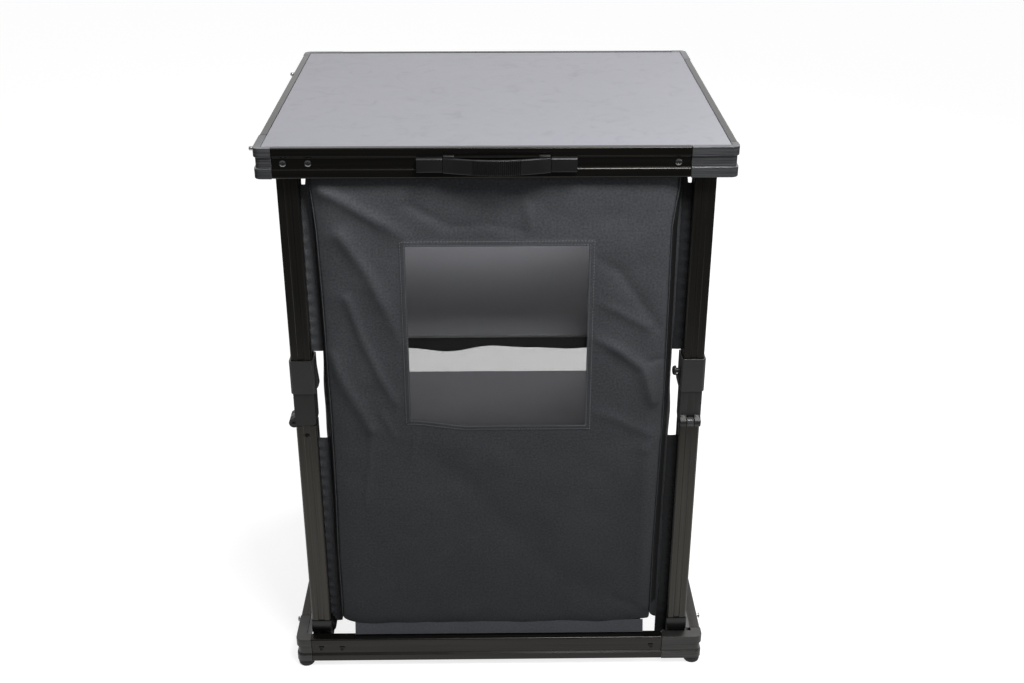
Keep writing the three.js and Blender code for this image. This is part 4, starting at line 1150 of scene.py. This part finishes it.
def cross_head(radius, height, steps=48):
    """A pan head: a low dome with a cross-shaped recess, on a polar grid."""
    rings = np.concatenate([np.linspace(0, 0.94, 16), [0.985, 1.0]])
    turn = np.linspace(0, 2 * np.pi, steps, endpoint=False)
    r, t = np.meshgrid(rings, turn, indexing="ij")
    x, y = r * np.cos(t), r * np.sin(t)
    dome = height * (1 - 0.45 * r ** 2.4)
    arm = np.minimum(np.abs(x), np.abs(y))
    length = np.maximum(np.abs(x), np.abs(y))
    recess = smooth((0.16 - arm) / 0.06) * smooth((0.62 - length) / 0.08)
    points = np.stack([radius * x, radius * y, dome - 0.6 * height * recess], -1)
    skirt = points[-1:].copy()
    skirt[..., 2] = -0.4 * MM
    under = skirt * np.array([0, 0, 1])
    grid = np.concatenate([points, skirt, under])
    return grid.reshape(-1, 3), grid_faces(len(grid), steps, wrap_columns=True)[:, ::-1]


RECESS = 3 * MM
SCREW_PLACES = (36 * MM, 67 * MM)  # from the corner where the side starts
SCREW_END = 75 * MM  # from the corner where it ends
SCREW_DROP = 20 * MM  # from the top frame's upper edge
SCREW_RISE = 21.5 * MM  # from the base frame's lower edge

for body, finish, up in (
    ("top", screw_steel, top_height - SCREW_DROP), ("base", black_steel, base_bottom + SCREW_RISE),
):
    for k, side in enumerate(SIDES):
        length = 2 * (half_depth if k % 2 else half_width)
        heads = []
        for along in (*SCREW_PLACES, length - SCREW_END):
            points, faces = cross_head(4.1 * MM, 1.9 * MM)
            points = facing(points, "-y") + np.array([along, RECESS, up])
            heads.append((side_place(k, points), faces))
        piece(f"{body}_screws_{side}", *joined(heads), finish, body, slot="bright_steel")


def turned_piece(name, node, profile, body):
    """A bright turned piece in place of a CAD node that stands on a side of the frame."""
    low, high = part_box(node)
    middle = (low + high) / 2
    outward = -1 if middle.x < centre.x else 1
    points, faces = lathe(np.array(profile) * MM, 28)
    x, y, z = points.T
    face = centre.x + outward * half_width
    placed = np.stack([face + outward * z, middle.y + x, middle.z + outward * y], 1)
    made = piece(name, placed, faces, bright_steel, body, slot="bright_steel")
    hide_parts(node)


# Radius and distance out from the frame's side, in mm
PEG = (
    (0, -4.5), (2, -4.5), (2, -2.6), (3, -2.6), (3, 11.2), (2.75, 11.7), (2.75, 12.2), (3, 12.7),
    (3, 15.2), (2.7, 15.8), (2.1, 16), (0, 16),
)
STUD = (
    (0, -4.5), (2, -4.5), (2, -2.6), (2.5, -2.6), (2.5, 5.8), (3.7, 6), (4, 6.4), (4, 7.4),
    (3.6, 7.9), (0, 8),
)
for place in ("front", "rear"):
    turned_piece(f"bright_peg_{place}", f"side_peg_{place}", PEG, "top")
for place in ("left", "right"):
    turned_piece(f"bright_stud_{place}", f"base_stud_{place}", STUD, "base")


# Legs: hinge blocks and knuckles, pin ends, set screws, boots and lock tongues

LEG_HALF = 14 * MM
LEG_INSETS = ((37 * MM, 32 * MM), (32 * MM, 37 * MM))  # along the side and inwards, by turns
ELBOW_OUT = 16.5 * MM
ELBOW_Z = 405 * MM
KNUCKLE_RADIUS = 6.85 * MM
KNUCKLE_HALF = 4.7 * MM
KNUCKLE_EDGE = 0.8 * MM
PLUG_HALF = 12 * MM
PLUG_LEVELS = (396 * MM, 400.5 * MM)
HINGE_HALF = 14.4 * MM
HINGE_LOW = 401.1 * MM
HINGE_TOP = 451.1 * MM
HINGE_ROUND = 5 * MM
CHEEK_ROUND = 3 * MM
CHEEK_GAP = 4.9 * MM
LUG_RISE = 9.5 * MM
FINE = 0.02 * MM
BOOT_LEVELS = (50.2 * MM, 51 * MM, 70 * MM, 71 * MM)
SLEEVE_HALF = 16.5 * MM
TONGUE_ROOT = 0.4 * MM
sleeve_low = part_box("lock_sleeve_front_left")[0].z

# Lock tongues: height above the sleeve's lower edge and how far they stand out of it, in mm
INNER_TONGUE = (
    (1.6, -0.4), (2.2, 0.4), (4, 1.8), (6.5, 3.2), (9, 3.7), (14, 3.3), (30, 1.8), (45, 0.8), (45.6, -0.4),
)
KNOB_TONGUE = (
    (0.6, -0.4), (1.4, 0.3), (6, 1.7), (11, 2.9), (14.6, 3.4), (16.6, 3.5), (17.1, 3.1), (17.3, -0.4),
)
TONGUE_SECTION = (  # share of the depth, and place across the tongue in mm
    (0, -5.2), (0.6, -5.2), (1, -4.6), (1, 4.6), (0.6, 5.2), (0, 5.2), (0, 4), (0, -4),
)


def arc(x, z, radius, first, last, steps=7):
    """Points on an arc in x and z between two angles in degrees."""
    angle = np.radians(np.linspace(first, last, steps))
    return np.stack([x + radius * np.cos(angle), z + radius * np.sin(angle)], 1)


def rod(lower):
    """A turned part with two equal ends, from the lower half of its profile."""
    return lathe([*lower, *((radius, -rise) for radius, rise in reversed(lower))], 36)


def moved(part, axis, place):
    """A turned part that faces along an axis of the leg's frame, at a place in it."""
    points, faces = part
    return facing(points, axis) + np.array(place), faces


def on_both_faces(part, out, along, up):
    """A turned part on the leg's two faces across y, each looking outwards."""
    return joined([moved(part, axis, (out, sign * along, up)) for axis, sign in (("-y", -1), ("+y", 1))])


def middle_knuckle():
    """The lower half of the elbow: a round knuckle with small round edges, and a plug in the tube."""
    radius, half, edge = KNUCKLE_RADIUS, KNUCKLE_HALF, KNUCKLE_EDGE
    profile = [
        (0, -half), (radius - edge, -half),
        (radius - 0.15 * edge, 0.3 * edge - half), (radius, edge - half),
    ]
    low, high = PLUG_LEVELS
    corners = [(-PLUG_HALF, low), (PLUG_HALF, low), (PLUG_HALF, high), (-PLUG_HALF, high)]
    return joined([
        moved(rod(profile), "+y", (-ELBOW_OUT, 0, ELBOW_Z)), plate(corners, -PLUG_HALF, PLUG_HALF),
    ])


def hinge_block():
    """The upper half of the elbow: a block with round lower corners, and two lugs that hold the pin."""
    over = ELBOW_Z + KNUCKLE_RADIUS + 0.5 * MM
    behind = -ELBOW_OUT + KNUCKLE_RADIUS + 0.3 * MM
    lug_inner = -HINGE_HALF + 2 * MM
    outer_corner = arc(HINGE_HALF - HINGE_ROUND, HINGE_LOW + HINGE_ROUND, HINGE_ROUND, 270, 360)
    cheek = np.concatenate([
        arc(-HINGE_HALF + CHEEK_ROUND, HINGE_LOW + CHEEK_ROUND, CHEEK_ROUND, 180, 270), outer_corner,
        [[HINGE_HALF, HINGE_TOP], [-HINGE_HALF, HINGE_TOP]],
    ])
    bridge = [[-HINGE_HALF, over], [HINGE_HALF, over], [HINGE_HALF, HINGE_TOP], [-HINGE_HALF, HINGE_TOP]]
    heel = np.concatenate([[[behind, over], [behind, HINGE_LOW]], outer_corner, [[HINGE_HALF, over]]])
    lug = np.concatenate([
        arc(-ELBOW_OUT, ELBOW_Z, KNUCKLE_RADIUS, 140, 350, 22),
        [[lug_inner, ELBOW_Z], [lug_inner, ELBOW_Z + LUG_RISE + 2 * MM], [-HINGE_HALF, ELBOW_Z + LUG_RISE]],
    ])
    return joined([
        plate(cheek, -HINGE_HALF, -CHEEK_GAP, (0.6 * MM, FINE)),
        plate(cheek, CHEEK_GAP, HINGE_HALF, (FINE, 0.6 * MM)),
        plate(bridge, -CHEEK_GAP, CHEEK_GAP, (FINE, FINE)),
        plate(heel, -CHEEK_GAP, CHEEK_GAP, (FINE, FINE)),
        plate(lug, -LEG_HALF, -5 * MM, (0.6 * MM, 0.9 * MM)),
        plate(lug, 5 * MM, LEG_HALF, (0.9 * MM, 0.6 * MM)),
    ])


def leg_boot():
    """A rubber band round the leg's lower end, with a round pad over the pivot."""
    outer = rounded_outline(LEG_HALF + 1.1 * MM, LEG_HALF + 1.1 * MM, 2.6 * MM)
    inner = rounded_outline(LEG_HALF + 0.1 * MM, LEG_HALF + 0.1 * MM, 1.9 * MM)
    outlines = (0.97 * outer, outer, outer, 0.97 * outer, inner, inner)
    levels = (*BOOT_LEVELS, BOOT_LEVELS[-1], BOOT_LEVELS[0])
    rings = [np.column_stack([ring, np.full(len(ring), z)]) for ring, z in zip(outlines, levels)]
    band = (np.array(rings), grid_faces(len(rings), len(outer), wrap_rows=True, wrap_columns=True))
    pad = rod([(0, -9 * MM), (10.8 * MM, -9 * MM), (11.5 * MM, -8 * MM)])
    return joined([band, moved(pad, "+y", (9 * MM, 0, 57 * MM))])


def tongue(profile, turned):
    """A wedge on the sleeve's +x face, or turned to +y: rounded rectangles that follow the profile."""
    share, across = np.array(TONGUE_SECTION).T
    rings = []
    for rise, out in np.array(profile) * MM:
        x = SLEEVE_HALF - TONGUE_ROOT + share * (out + TONGUE_ROOT)
        rings.append(np.column_stack([x, across * MM, np.full(len(x), sleeve_low + rise)]))
    points = np.array(rings).reshape(-1, 3)
    if turned:
        points = points[:, (1, 0, 2)] * np.array([-1, 1, 1])
    return points, grid_faces(len(profile), len(share), wrap_columns=True)


def leg_piece(k, name, part, finish, body, slot, sharp=40):
    """A piece of leg k, given in the leg's own frame: its centre line at x = y = 0."""
    points, faces = part
    placed = side_place(k, points + np.array([*LEG_INSETS[k % 2], 0]))
    return piece(
        f"{name}_{CORNERS[k]}", placed, faces, finish, f"{body}_{CORNERS[k]}", slot=slot, sharp=sharp
    )


pin_end = lathe([(r * MM, h * MM) for r, h in ((0, -1), (2.6, -1), (2.6, 0.5), (2, 0.9), (0, 1))], 24)
pin_ends = on_both_faces(pin_end, -ELBOW_OUT, LEG_HALF, ELBOW_Z)
set_screws = on_both_faces(cross_head(3.2 * MM, 1.4 * MM), 0, LEG_HALF - 0.8 * MM, ELBOW_Z - 20 * MM)
lock_tongues = joined([tongue(INNER_TONGUE, False), tongue(KNOB_TONGUE, True)])
for k, corner in enumerate(CORNERS):
    knuckle = leg_piece(
        k, "middle_knuckle", middle_knuckle(), barrel_finish, "lower_leg", "hinge_moulding"
    )
    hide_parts(f"lower_knuckle_{corner}")
    housing = leg_piece(
        k, "elbow_housing", hinge_block(), hinge_finish, "upper_leg", "hinge_moulding", sharp=35
    )
    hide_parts(f"hinge_housing_{corner}")
    leg_piece(k, "pin_ends", pin_ends, black_steel, "upper_leg", "bright_steel")
    leg_piece(k, "set_screws", set_screws, black_steel, "lower_leg", "bright_steel")
    leg_piece(k, "leg_boot", leg_boot(), boot_finish, "lower_leg", "foot_rubber")
    leg_piece(k, "lock_tongues", lock_tongues, hinge_finish, "sleeve", "hinge_moulding")


# Soft pieces, the door roll, its ties and the shelf hems get meshes of their own
soft_pieces = [near_cloth, window_stitches, window_net, *side_cloths.values(), *shade_bands, *flaps.values(),
               floor_lining]
for soft in soft_pieces:
    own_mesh(soft)
for soft in (door_roll, door_ties):
    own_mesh(soft)
for shelf, (strip, hem) in trims.items():
    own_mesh(hem)


# Sheets of cloth, by the size they were cut to
for (side, end, level), flap in flaps.items():
    low, high = FLAPS[level]
